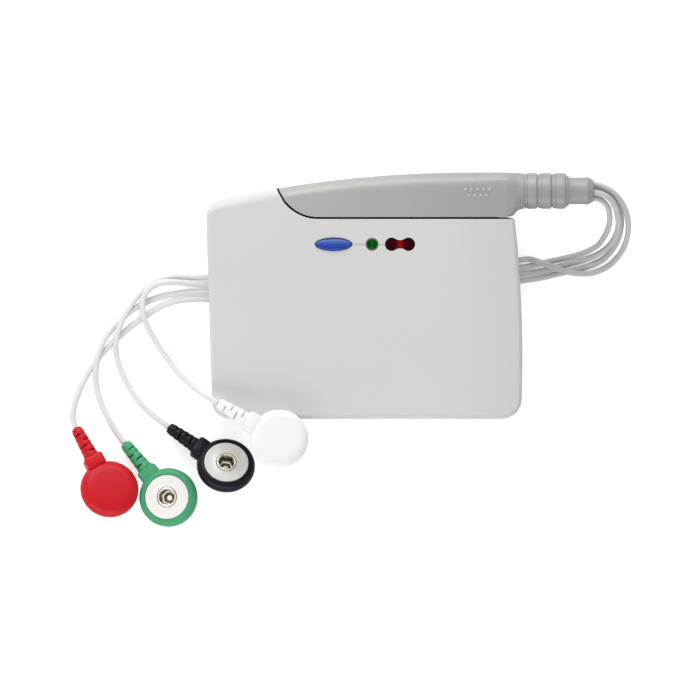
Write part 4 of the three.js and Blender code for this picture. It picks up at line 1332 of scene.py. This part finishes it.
HEADS = [
    SnapHead(
        LeadColour.BLACK, x=-47.0, y=-46.1, yaw=-34.5, pitch=14, roll=-26, face_up=True,
        crown=2.9, rim_depth=2.2,
    ),
    SnapHead(LeadColour.WHITE, x=-32.6, y=-38.65, yaw=-30.5, pitch=4, roll=-8, face_up=False),
    SnapHead(LeadColour.GREEN, x=-62.4, y=-54.5, yaw=-51, pitch=11, roll=7, face_up=True),
    SnapHead(
        LeadColour.RED, x=-78.4, y=-52.1, yaw=-61, pitch=14, roll=-14, face_up=False,
        crown=2.9, rim_depth=2.2,
    ),
]


@dataclass
class Housings:
    """The moulded shells of case, plug and door, finished from their solids."""

    edge: float = 0.16
    edge_from: float = 45.0
    left_sharp: tuple[str, ...] = ("plug_rear_shell",)
    smooth_to: float = 33.0
    weight: int = 80

    def shells(self) -> list[tuple[str, str, Body, Finish]]:
        """Lists the shells.

        Returns:
            Each shell's solid, its piece, its body and its finish.
        """
        return [
            ("front_shell", "case_front", Body.CASE, CASE_PLASTIC),
            ("rear_shell", "case_rear", Body.CASE, CASE_PLASTIC),
            ("battery_door", "door_panel", Body.DOOR, CASE_PLASTIC),
            ("plug_front_shell", "plug_front", Body.PLUG, PLUG_PLASTIC),
            ("plug_rear_shell", "plug_rear", Body.PLUG, PLUG_PLASTIC),
        ]

    def build(self) -> None:
        """Rounds the edges of each shell, but not where a thin corner would tear, and dresses it."""
        for node, name, body, finish in self.shells():
            piece = solid_copy(node, name)
            if node not in self.left_sharp:
                bevel_by_angle(piece, self.edge * MM, 2, self.edge_from)
            smooth(piece, self.smooth_to)
            apply_modifier(piece, "WEIGHTED_NORMAL", weight=self.weight, keep_sharp=True)
            dress(piece, finish, body, "shell", replaces=node)


@dataclass
class SeamStrip:
    """The black strip in the seam between the case and the plug: the seal, swollen and carried on as painted
    shadow where the seam lies only in shade.
    """

    swell: float = 0.1
    nose_reach: Pair = (-0.14, 0.36)
    nose_top: float = 26.0
    low: float = 20.74
    high: float = 21.22
    tail_start: float = 26.3
    taper_start: float = 28.8
    overlap: float = 0.2
    tip: float = 30.6
    tip_height: float = 0.12
    back: float = 3.0
    front: float = 21.95
    smooth_to: float = 30.0

    def build_shadow_tail(self) -> Piece:
        """Models the painted shadow at the end of the seam, which thins out where the plug's box ends.

        Returns:
            The tail, in millimetres.
        """
        end = (self.taper_start, self.high, self.front)
        tail = block("strip_tail", (self.tail_start, self.low, self.back), end)
        start = (self.taper_start - self.overlap, self.low, self.back)
        taper = block("strip_taper", start, (self.tip, self.high, self.front))
        for vertex in taper.data.vertices:
            if vertex.co.x > self.taper_start and vertex.co.y > self.low + self.tip_height:
                vertex.co.y = self.low + self.tip_height
        boolean(tail, taper, "UNION")
        return tail

    def build(self) -> None:
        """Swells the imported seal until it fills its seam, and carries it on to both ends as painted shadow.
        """
        strip = solid_copy("plug_seal", "seam_strip")
        edit(strip)
        bpy.ops.transform.shrink_fatten(value=self.swell * MM, use_even_offset=True)
        bpy.ops.object.mode_set(mode="OBJECT")
        for vertex in strip.data.vertices:
            if vertex.co.y > self.nose_top * MM:
                vertex.co.x += self.nose_reach[0] * MM
                vertex.co.y += self.nose_reach[1] * MM
        tail = self.build_shadow_tail()
        settle(tail)
        boolean(strip, tail, "UNION")
        smooth(strip, self.smooth_to)
        dress(strip, SEAL_AND_SHADOW_BLACK, Body.CASE, "seam strip", replaces="plug_seal")


@dataclass
class GripDots:
    """The two rows of raised dots on the plug, painted paler than the plug as a highlight, each row with its
    count, first X and Y.
    """

    rows: tuple[tuple[int, float, float], ...] = ((5, 17.85, 28.65), (4, 18.65, 27.05))
    pitch: float = 1.6
    radius: float = 0.5
    rise: float = 0.28
    wall: float = 0.06
    sink: float = 0.05
    face: float = 22.4
    smooth_to: float = 50.0

    def build_dot(self) -> Piece:
        """Models one dot as a low dome on a short wall.

        Returns:
            The dot, in millimetres about Z.
        """
        low = self.face - self.sink
        brow = self.face + self.wall
        return turned("dot_pattern", [
            (0, low), (self.radius, low), (self.radius, brow),
            *arc((0, brow), (self.radius, self.rise - self.wall), 20, 85, 4), (0, self.face + self.rise),
        ], 20)

    def build(self) -> None:
        """Sets a dome over each dot of the shell, and joins them."""
        pattern = self.build_dot()
        dots = []
        for count, first, y in self.rows:
            for index in range(count):
                dot = copied(pattern, "grip_dots")
                settle(dot, Matrix.Translation((first + index * self.pitch, y, 0)))
                dots.append(dot)
        bpy.data.objects.remove(pattern, do_unlink=True)
        activate(dots[0])
        for dot in dots:
            dot.select_set(True)
        bpy.ops.object.join()
        smooth(dots[0], self.smooth_to)
        dress(dots[0], DOT_HIGHLIGHT_GREY, Body.PLUG, "grip dots")


@dataclass
class CableEnd:
    """The grip sleeve with its rings, and the ferrule that the leads come out of."""

    axis_y: float = 28.3
    axis_z: float = 16.6
    start: float = 33.82
    ring_radius: float = 4.86
    groove_radius: float = 4.42
    spigot_radius: float = 4.35
    bore: float = 2.9
    ring_width: float = 3.38
    groove_width: float = 0.45
    shoulder_drop: float = 0.13
    shoulder_reach: float = 0.2
    shoulder_width: float = 0.55
    shoulder_edge: float = 0.08
    line_width: float = 0.1
    line_depth: float = 0.12
    line_slope: float = 0.03
    end_round: float = 0.6
    level_share: float = 0.6
    rings: int = 3
    ferrule_radius: float = 3.65
    ferrule_length: float = 7.29
    lip: float = 0.13
    foot_step: float = 0.15
    recess: float = 1.6
    recess_rise: float = 0.3
    gap: float = 0.12
    smooth_to: float = 30.0

    def sleeve_end(self) -> float:
        """Finds where the last ring ends."""
        return self.start + self.rings * self.ring_width + (self.rings - 1) * self.groove_width

    def ring_profile(self, ring: int) -> Profile:
        """Draws one ring: a low shoulder, a fine line and a body with a round end.

        Args:
            ring: Which one it is, from 0.

        Returns:
            Radius and place of each point.
        """
        x = self.start + ring * (self.ring_width + self.groove_width)
        low = self.ring_radius - self.shoulder_drop
        shoulder = x - (self.shoulder_reach if ring else 0.0)
        line = x + self.shoulder_width
        body = line + self.line_width
        end = x + self.ring_width
        depth = self.line_depth
        round_end = self.end_round
        points = [
            (low - self.shoulder_edge, shoulder), (low, shoulder + self.shoulder_edge), (low, line),
            (low - depth, line + self.line_slope), (low - depth, body - self.line_slope),
            *arc((self.ring_radius - depth, body + depth), (depth, depth), -90, 0, 3),
            (self.ring_radius, x + self.ring_width * self.level_share),
            *arc((self.ring_radius - round_end, end - round_end), (round_end, round_end), 0, 75, 6),
            (self.groove_radius, end),
        ]
        if ring < self.rings - 1:
            points.append((self.groove_radius, end + self.groove_width - self.shoulder_reach))
        return points

    def build_sleeve(self) -> Piece:
        """Models the sleeve, whose spigot stands in the plug.

        Returns:
            The sleeve, in millimetres about Z.
        """
        front = self.start - self.gap
        profile = [(self.bore, front), (self.spigot_radius, front), (self.spigot_radius, self.start)]
        for ring in range(self.rings):
            profile += self.ring_profile(ring)
        profile += [(self.bore, self.sleeve_end()), (self.bore, front)]
        return turned("grip_rings", profile, 72)

    def build_ferrule(self) -> Piece:
        """Models the ferrule with its soft rim and the recess round the leads.

        Returns:
            The ferrule, in millimetres about Z.
        """
        front = self.sleeve_end()
        start = front + self.gap
        end = start + self.ferrule_length
        floor = end - self.recess + self.recess_rise
        radius = self.ferrule_radius
        foot = self.groove_radius - self.foot_step
        return turned("cable_collar", [
            (0, front), (foot, front), (foot, start + 0.1), (radius + 0.1, start + 0.75),
            (radius, start + 1.0), (radius, end - 2.4), (radius + self.lip, end - 1.9),
            *arc((radius + self.lip - 0.6, end - 1.6), (0.6, 0.5), 10, 50, 5), (self.bore + 0.15, end - 0.1),
            (self.bore + 0.05, end), (self.bore, end - 0.15), (self.bore, floor), (0, floor),
        ], 64)

    def build(self) -> None:
        """Places and dresses both."""
        for piece, node in ((self.build_sleeve(), "grip_sleeve"), (self.build_ferrule(), "cable_ferrule")):
            settle(piece, along_x(self.axis_y, self.axis_z))
            smooth(piece, self.smooth_to)
            dress(piece, PLUG_PLASTIC, Body.PLUG, "cable end", replaces=node)


@dataclass
class Controls:
    """Button and lens on the front face, with the rims round them and the printed line."""

    row_y: float = 13.9
    face: float = 22.4
    smooth_to: float = 40.0
    button_x: float = -17.9
    button_length: float = 10.1
    button_width: float = 3.5
    button_foot: float = 20.0
    button_rise: float = 0.08
    shade_skirt_edge: float = 0.16
    shade_skirt_break: float = 0.06
    cap_sink: float = 0.4
    # The cap sits this much low, so the painted shade round it shows widest at the top.
    cap_drop: float = 0.1
    dome: float = 0.66
    collar_gap: float = 0.07
    collar_wall: float = 0.17
    collar_low: float = 21.2
    sunk: float = 0.02
    lens_x: float = -7.5
    lens_radius: float = 1.65
    lens_depth: float = 2.6
    lens_dome: float = 0.26
    bezel_width: float = 0.28
    bezel_rise: float = 0.1
    bezel_break: float = 0.08
    bezel_gap: float = 0.01
    line_width: float = 0.5
    line_height: float = 0.03
    line_sink: float = 0.01
    line_edge: float = 0.02
    line_stops: tuple[Pair, ...] = ((-12.75, -9.25), (-5.75, -4.05))

    def stretch(self, piece: Piece, share: float, drop: float = 0.0) -> None:
        """Stretches a turned piece along X into the button's oval, and puts it in place.

        Args:
            piece: The piece.
            share: How much longer it gets.
            drop: How much lower in the picture than the row its middle is.
        """
        piece.scale = (share, 1, 1)
        piece.location = (self.button_x, self.row_y - drop, 0)
        settle(piece)
        smooth(piece, self.smooth_to)

    def build_button(self) -> None:
        """Models the oval cap as a low dome on a dark sheet, a painted shade for the gap round the cap, which
        shows as its outline; the cap sits a little low, so the painted shade is widest at its top.
        """
        half = self.button_width / 2
        cap_half = half - self.shade_skirt_edge
        cap_length = self.button_length - 2 * self.shade_skirt_edge
        low = self.face + self.button_rise
        foot = self.face - self.cap_sink
        # The dark piece under the cap is painted shade for the gap round the cap.
        shade_skirt = turned("button_skirt", [
            (0, self.button_foot), (half, self.button_foot), (half, self.face),
            (half - self.shade_skirt_break, low), (0, low),
        ], 72)
        cap = turned("button_cap", [
            (0, foot), (cap_half, foot), (cap_half, low),
            *arc((0, low), (cap_half, self.dome), 9, 81, 8), (0, low + self.dome),
        ], 72)
        self.stretch(shade_skirt, self.button_length / self.button_width)
        self.stretch(cap, cap_length / (2 * cap_half), self.cap_drop)
        dress(shade_skirt, SHADE_SKIRT_BLUE, Body.BUTTON, "event button's skirt")
        dress(cap, BUTTON_BLUE, Body.BUTTON, "event button", replaces="event_button")

    def build_collar(self) -> None:
        """Models the thin collar that narrows the gap round the button."""
        inner = self.button_width / 2 + self.collar_gap
        outer = inner + self.collar_wall
        high = self.face - self.sunk
        collar = turned("button_collar", [
            (inner, self.collar_low), (outer, self.collar_low), (outer, high), (inner, high),
            (inner, self.collar_low),
        ], 72)
        self.stretch(collar, (self.button_length / 2 + self.collar_gap) / inner)
        dress(collar, CASE_PLASTIC, Body.CASE, "button collar")

    def build_lens(self) -> None:
        """Models the status lens as a low dome inside a grey ring."""
        radius = self.lens_radius
        inner = radius - self.bezel_width
        foot = self.face - self.lens_depth
        edge = self.face - self.sunk
        seat = edge - self.bezel_width
        lens = turned("lens_dome", [
            (0, foot), (radius, foot), (radius, seat), (inner, seat), (inner, edge),
            *arc((0, edge), (inner, self.lens_dome), 12, 84, 6), (0, edge + self.lens_dome),
        ], 48)
        hole = inner + self.bezel_gap
        low = seat + self.sunk
        high = self.face + self.bezel_rise
        ring = turned("lens_bezel", [
            (hole, low), (radius, low), (radius, high - self.bezel_break), (radius - self.bezel_rise, high),
            (inner + self.bezel_rise, high), (hole, self.face), (hole, low),
        ], 48)
        for piece in (lens, ring):
            settle(piece, Matrix.Translation((self.lens_x, self.row_y, 0)))
            smooth(piece, self.smooth_to)
        dress(lens, LENS_GREEN, Body.CASE, "status lens", replaces="status_lens")
        dress(ring, BEZEL_GREY, Body.CASE, "lens bezel")

    def build_line(self) -> None:
        """Prints the pale line between the controls."""
        for index, (x0, x1) in enumerate(self.line_stops, 1):
            low = (x0, self.row_y - self.line_width / 2, self.face - self.line_sink)
            high = (x1, self.row_y + self.line_width / 2, self.face + self.line_height)
            line = block(f"printed_line_{index}", low, high)
            bevel_by_angle(line, self.line_edge, 1)
            settle(line)
            dress(line, PRINT_GREY, Body.CASE, "printed line")

    def build(self) -> None:
        """Builds the controls."""
        self.build_button()
        self.build_collar()
        self.build_lens()
        self.build_line()


@dataclass
class Feet:
    """The four rubber feet under the case."""

    places: tuple[Pair, ...] = ((-44.35, -27.1), (26.9, -27.1), (-46.2, 15.0), (26.9, 15.0))
    radius: float = 3.5
    height: float = 2.88
    edge: float = 0.7
    hollow_radius: float = 2.0
    hollow_slope: float = 0.3
    hollow: float = 0.12
    smooth_to: float = 40.0

    def build_foot(self) -> Piece:
        """Models one foot with a round edge and a shallow hollow where it stands.

        Returns:
            The foot, in millimetres about Z.
        """
        flat = self.radius - self.edge
        foot = turned("foot_pattern", [
            (0, self.hollow), (self.hollow_radius, self.hollow),
            (self.hollow_radius + self.hollow_slope, 0.0), (flat, 0.0),
            *arc((flat, self.edge), (self.edge, self.edge), -72, 0, 5),
            (self.radius, self.height), (0, self.height),
        ], 48)
        smooth(foot, self.smooth_to)
        return foot

    def build(self) -> None:
        """Copies the foot to its four places and dresses each copy."""
        pattern = self.build_foot()
        for index, (x, y) in enumerate(self.places, 1):
            foot = copied(pattern, f"rubber_foot_{index}")
            settle(foot, Matrix.Translation((x, y, 0)))
            dress(foot, FOOT_RUBBER, Body.CASE, "foot", replaces=f"foot_{index}")
        bpy.data.objects.remove(pattern, do_unlink=True)


@dataclass
class Innards:
    """The solids that keep their shape: infrared window, board, cell, contacts, screws and more."""

    contact_strips: int = 4
    screws: int = 4

    def finishes(self) -> dict[str, Finish]:
        """Gives each solid its finish.

        Returns:
            The finishes by the solids' names.
        """
        kinds = {
            CELL_SLEEVE: ["battery_cell"],
            BOARD_MASK: ["main_board"],
            LENS_GREEN: ["status_led"],
            WINDOW_RED: ["infrared_window"],
            CONTACT_GOLD: [f"contact_strip_{i + 1}" for i in range(self.contact_strips)],
            SPRING_STEEL: [
                "battery_contact_negative", "battery_contact_positive", "card_holder",
                *(f"case_screw_{i + 1}" for i in range(self.screws)),
            ],
            CHIP_BLACK: [
                "processor_chip", "amplifier_chip", "memory_chip", "memory_card", "switch_body",
                "switch_plunger", "infrared_emitter", "infrared_receiver", "patient_socket", "contact_tongue",
            ],
        }
        return {node: finish for finish, nodes in kinds.items() for node in nodes}

    def dress(self) -> None:
        """Dresses them."""
        for node, finish in self.finishes().items():
            PAINTS.coat(bpy.data.objects[node], finish)
        LOG.info("%d solids keep their shape", len(self.finishes()))


@dataclass
class Studio:
    """Floor, light and camera. The camera is in millimetres, the lamps are in metres and watts."""

    centre: Pair = (-13.46, -14.65)
    width: float = 189.0
    camera_height: float = 600.0
    world_light: float = 0.5
    key_power: float = 3.8
    key_size: Pair = (0.8, 0.4)
    key_place: Point = (-0.12, 0.61, 0.36)
    fill_power: float = 1.65
    fill_size: Pair = (0.9, 0.25)
    fill_place: Point = (-0.15, -0.47, 0.25)
    rim_power: float = 0.4
    rim_size: Pair = (0.8, 0.12)
    rim_place: Point = (-0.05, 0.75, 0.075)
    lamps_aim: Point = (-0.01, -0.01, 0.0)
    floor_size: float = 4.0
    floor_glow: float = 0.55
    floor_roughness: float = 0.9
    floor_colour: Colour = (250, 250, 250)

    def build_camera(self) -> None:
        """Looks straight down on the recorder, as the photograph does."""
        data = bpy.data.cameras.new("camera")
        data.type = "ORTHO"
        data.ortho_scale = self.width * MM
        camera = bpy.data.objects.new("camera", data)
        camera.location = (self.centre[0] * MM, self.centre[1] * MM, self.camera_height * MM)
        bpy.context.scene.collection.objects.link(camera)
        bpy.context.scene.camera = camera

    def build_world(self) -> None:
        """Lights the scene evenly from all round, and shows white to the camera, to gloss and to glass."""
        world = bpy.data.worlds.new("studio")
        bpy.context.scene.world = world
        world.use_nodes = True
        graph = Graph(world.node_tree)
        path = graph.node("LightPath")
        seen = path.outputs["Is Camera Ray"]
        for name in ("Is Glossy Ray", "Is Transmission Ray"):
            seen = graph.reckon("MAXIMUM", seen, path.outputs[name])
        strength = graph.node("MapRange", Value=seen, To_Min=self.world_light, To_Max=1.0)
        shade = graph.tree.nodes["Background"]
        graph.fill(shade, Color=(1, 1, 1, 1), Strength=strength.outputs["Result"])

    def build_floor(self) -> None:
        """Lays a white sheet that glows a little to the camera and keeps the object's soft shadow."""
        deselect()
        bpy.ops.mesh.primitive_plane_add(size=self.floor_size, location=(0, 0, 0))
        floor = bpy.context.object
        floor.name = "studio_floor"
        sketch = Sketch("floor_white")
        sketch.set(
            Base_Color=linear(self.floor_colour), Roughness=self.floor_roughness, Specular_IOR_Level=0.0,
        )
        seen = sketch.node("LightPath").outputs["Is Camera Ray"]
        glow = sketch.node("Emission", Color=seen, Strength=self.floor_glow)
        both = sketch.node("AddShader")
        sketch.give(both.inputs[0], sketch.shader.outputs["BSDF"])
        sketch.give(both.inputs[1], glow.outputs["Emission"])
        sketch.fill(sketch.tree.nodes["Material Output"], Surface=both.outputs["Shader"])
        floor.data.materials.append(sketch.material)

    def hang_lamp(self, name: str, power: float, size: Pair, place: Point) -> None:
        """Hangs a soft lamp that looks at the recorder.

        Args:
            name: Its name.
            power: Its power in watts.
            size: Its width and height in metres.
            place: Where it hangs, in metres.
        """
        data = bpy.data.lights.new(name, "AREA")
        data.shape = "RECTANGLE"
        data.size, data.size_y = size
        data.energy = power
        lamp = bpy.data.objects.new(name, data)
        lamp.location = place
        aim = Vector(self.lamps_aim) - Vector(place)
        lamp.rotation_mode = "QUATERNION"
        lamp.rotation_quaternion = aim.to_track_quat("-Z", "Y")
        bpy.context.scene.collection.objects.link(lamp)

    def build(self) -> None:
        """Builds the floor and the light."""
        self.build_world()
        self.build_floor()
        self.hang_lamp("key", self.key_power, self.key_size, self.key_place)
        self.hang_lamp("fill", self.fill_power, self.fill_size, self.fill_place)
        self.hang_lamp("rim", self.rim_power, self.rim_size, self.rim_place)
        bpy.context.scene.view_settings.view_transform = "Standard"


def main() -> None:
    """Builds the picture in order: camera, cords, case, controls and studio."""
    logging.basicConfig(level=logging.INFO, format="%(message)s")
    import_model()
    deselect()
    studio = Studio()
    studio.build_camera()
    Harness([BLACK_LEAD, WHITE_LEAD, GREEN_LEAD, RED_LEAD], HEADS).build()
    Housings().build()
    SeamStrip().build()
    GripDots().build()
    CableEnd().build()
    Controls().build()
    Feet().build()
    Innards().dress()
    studio.build()


if __name__ == "__main__":
    main()
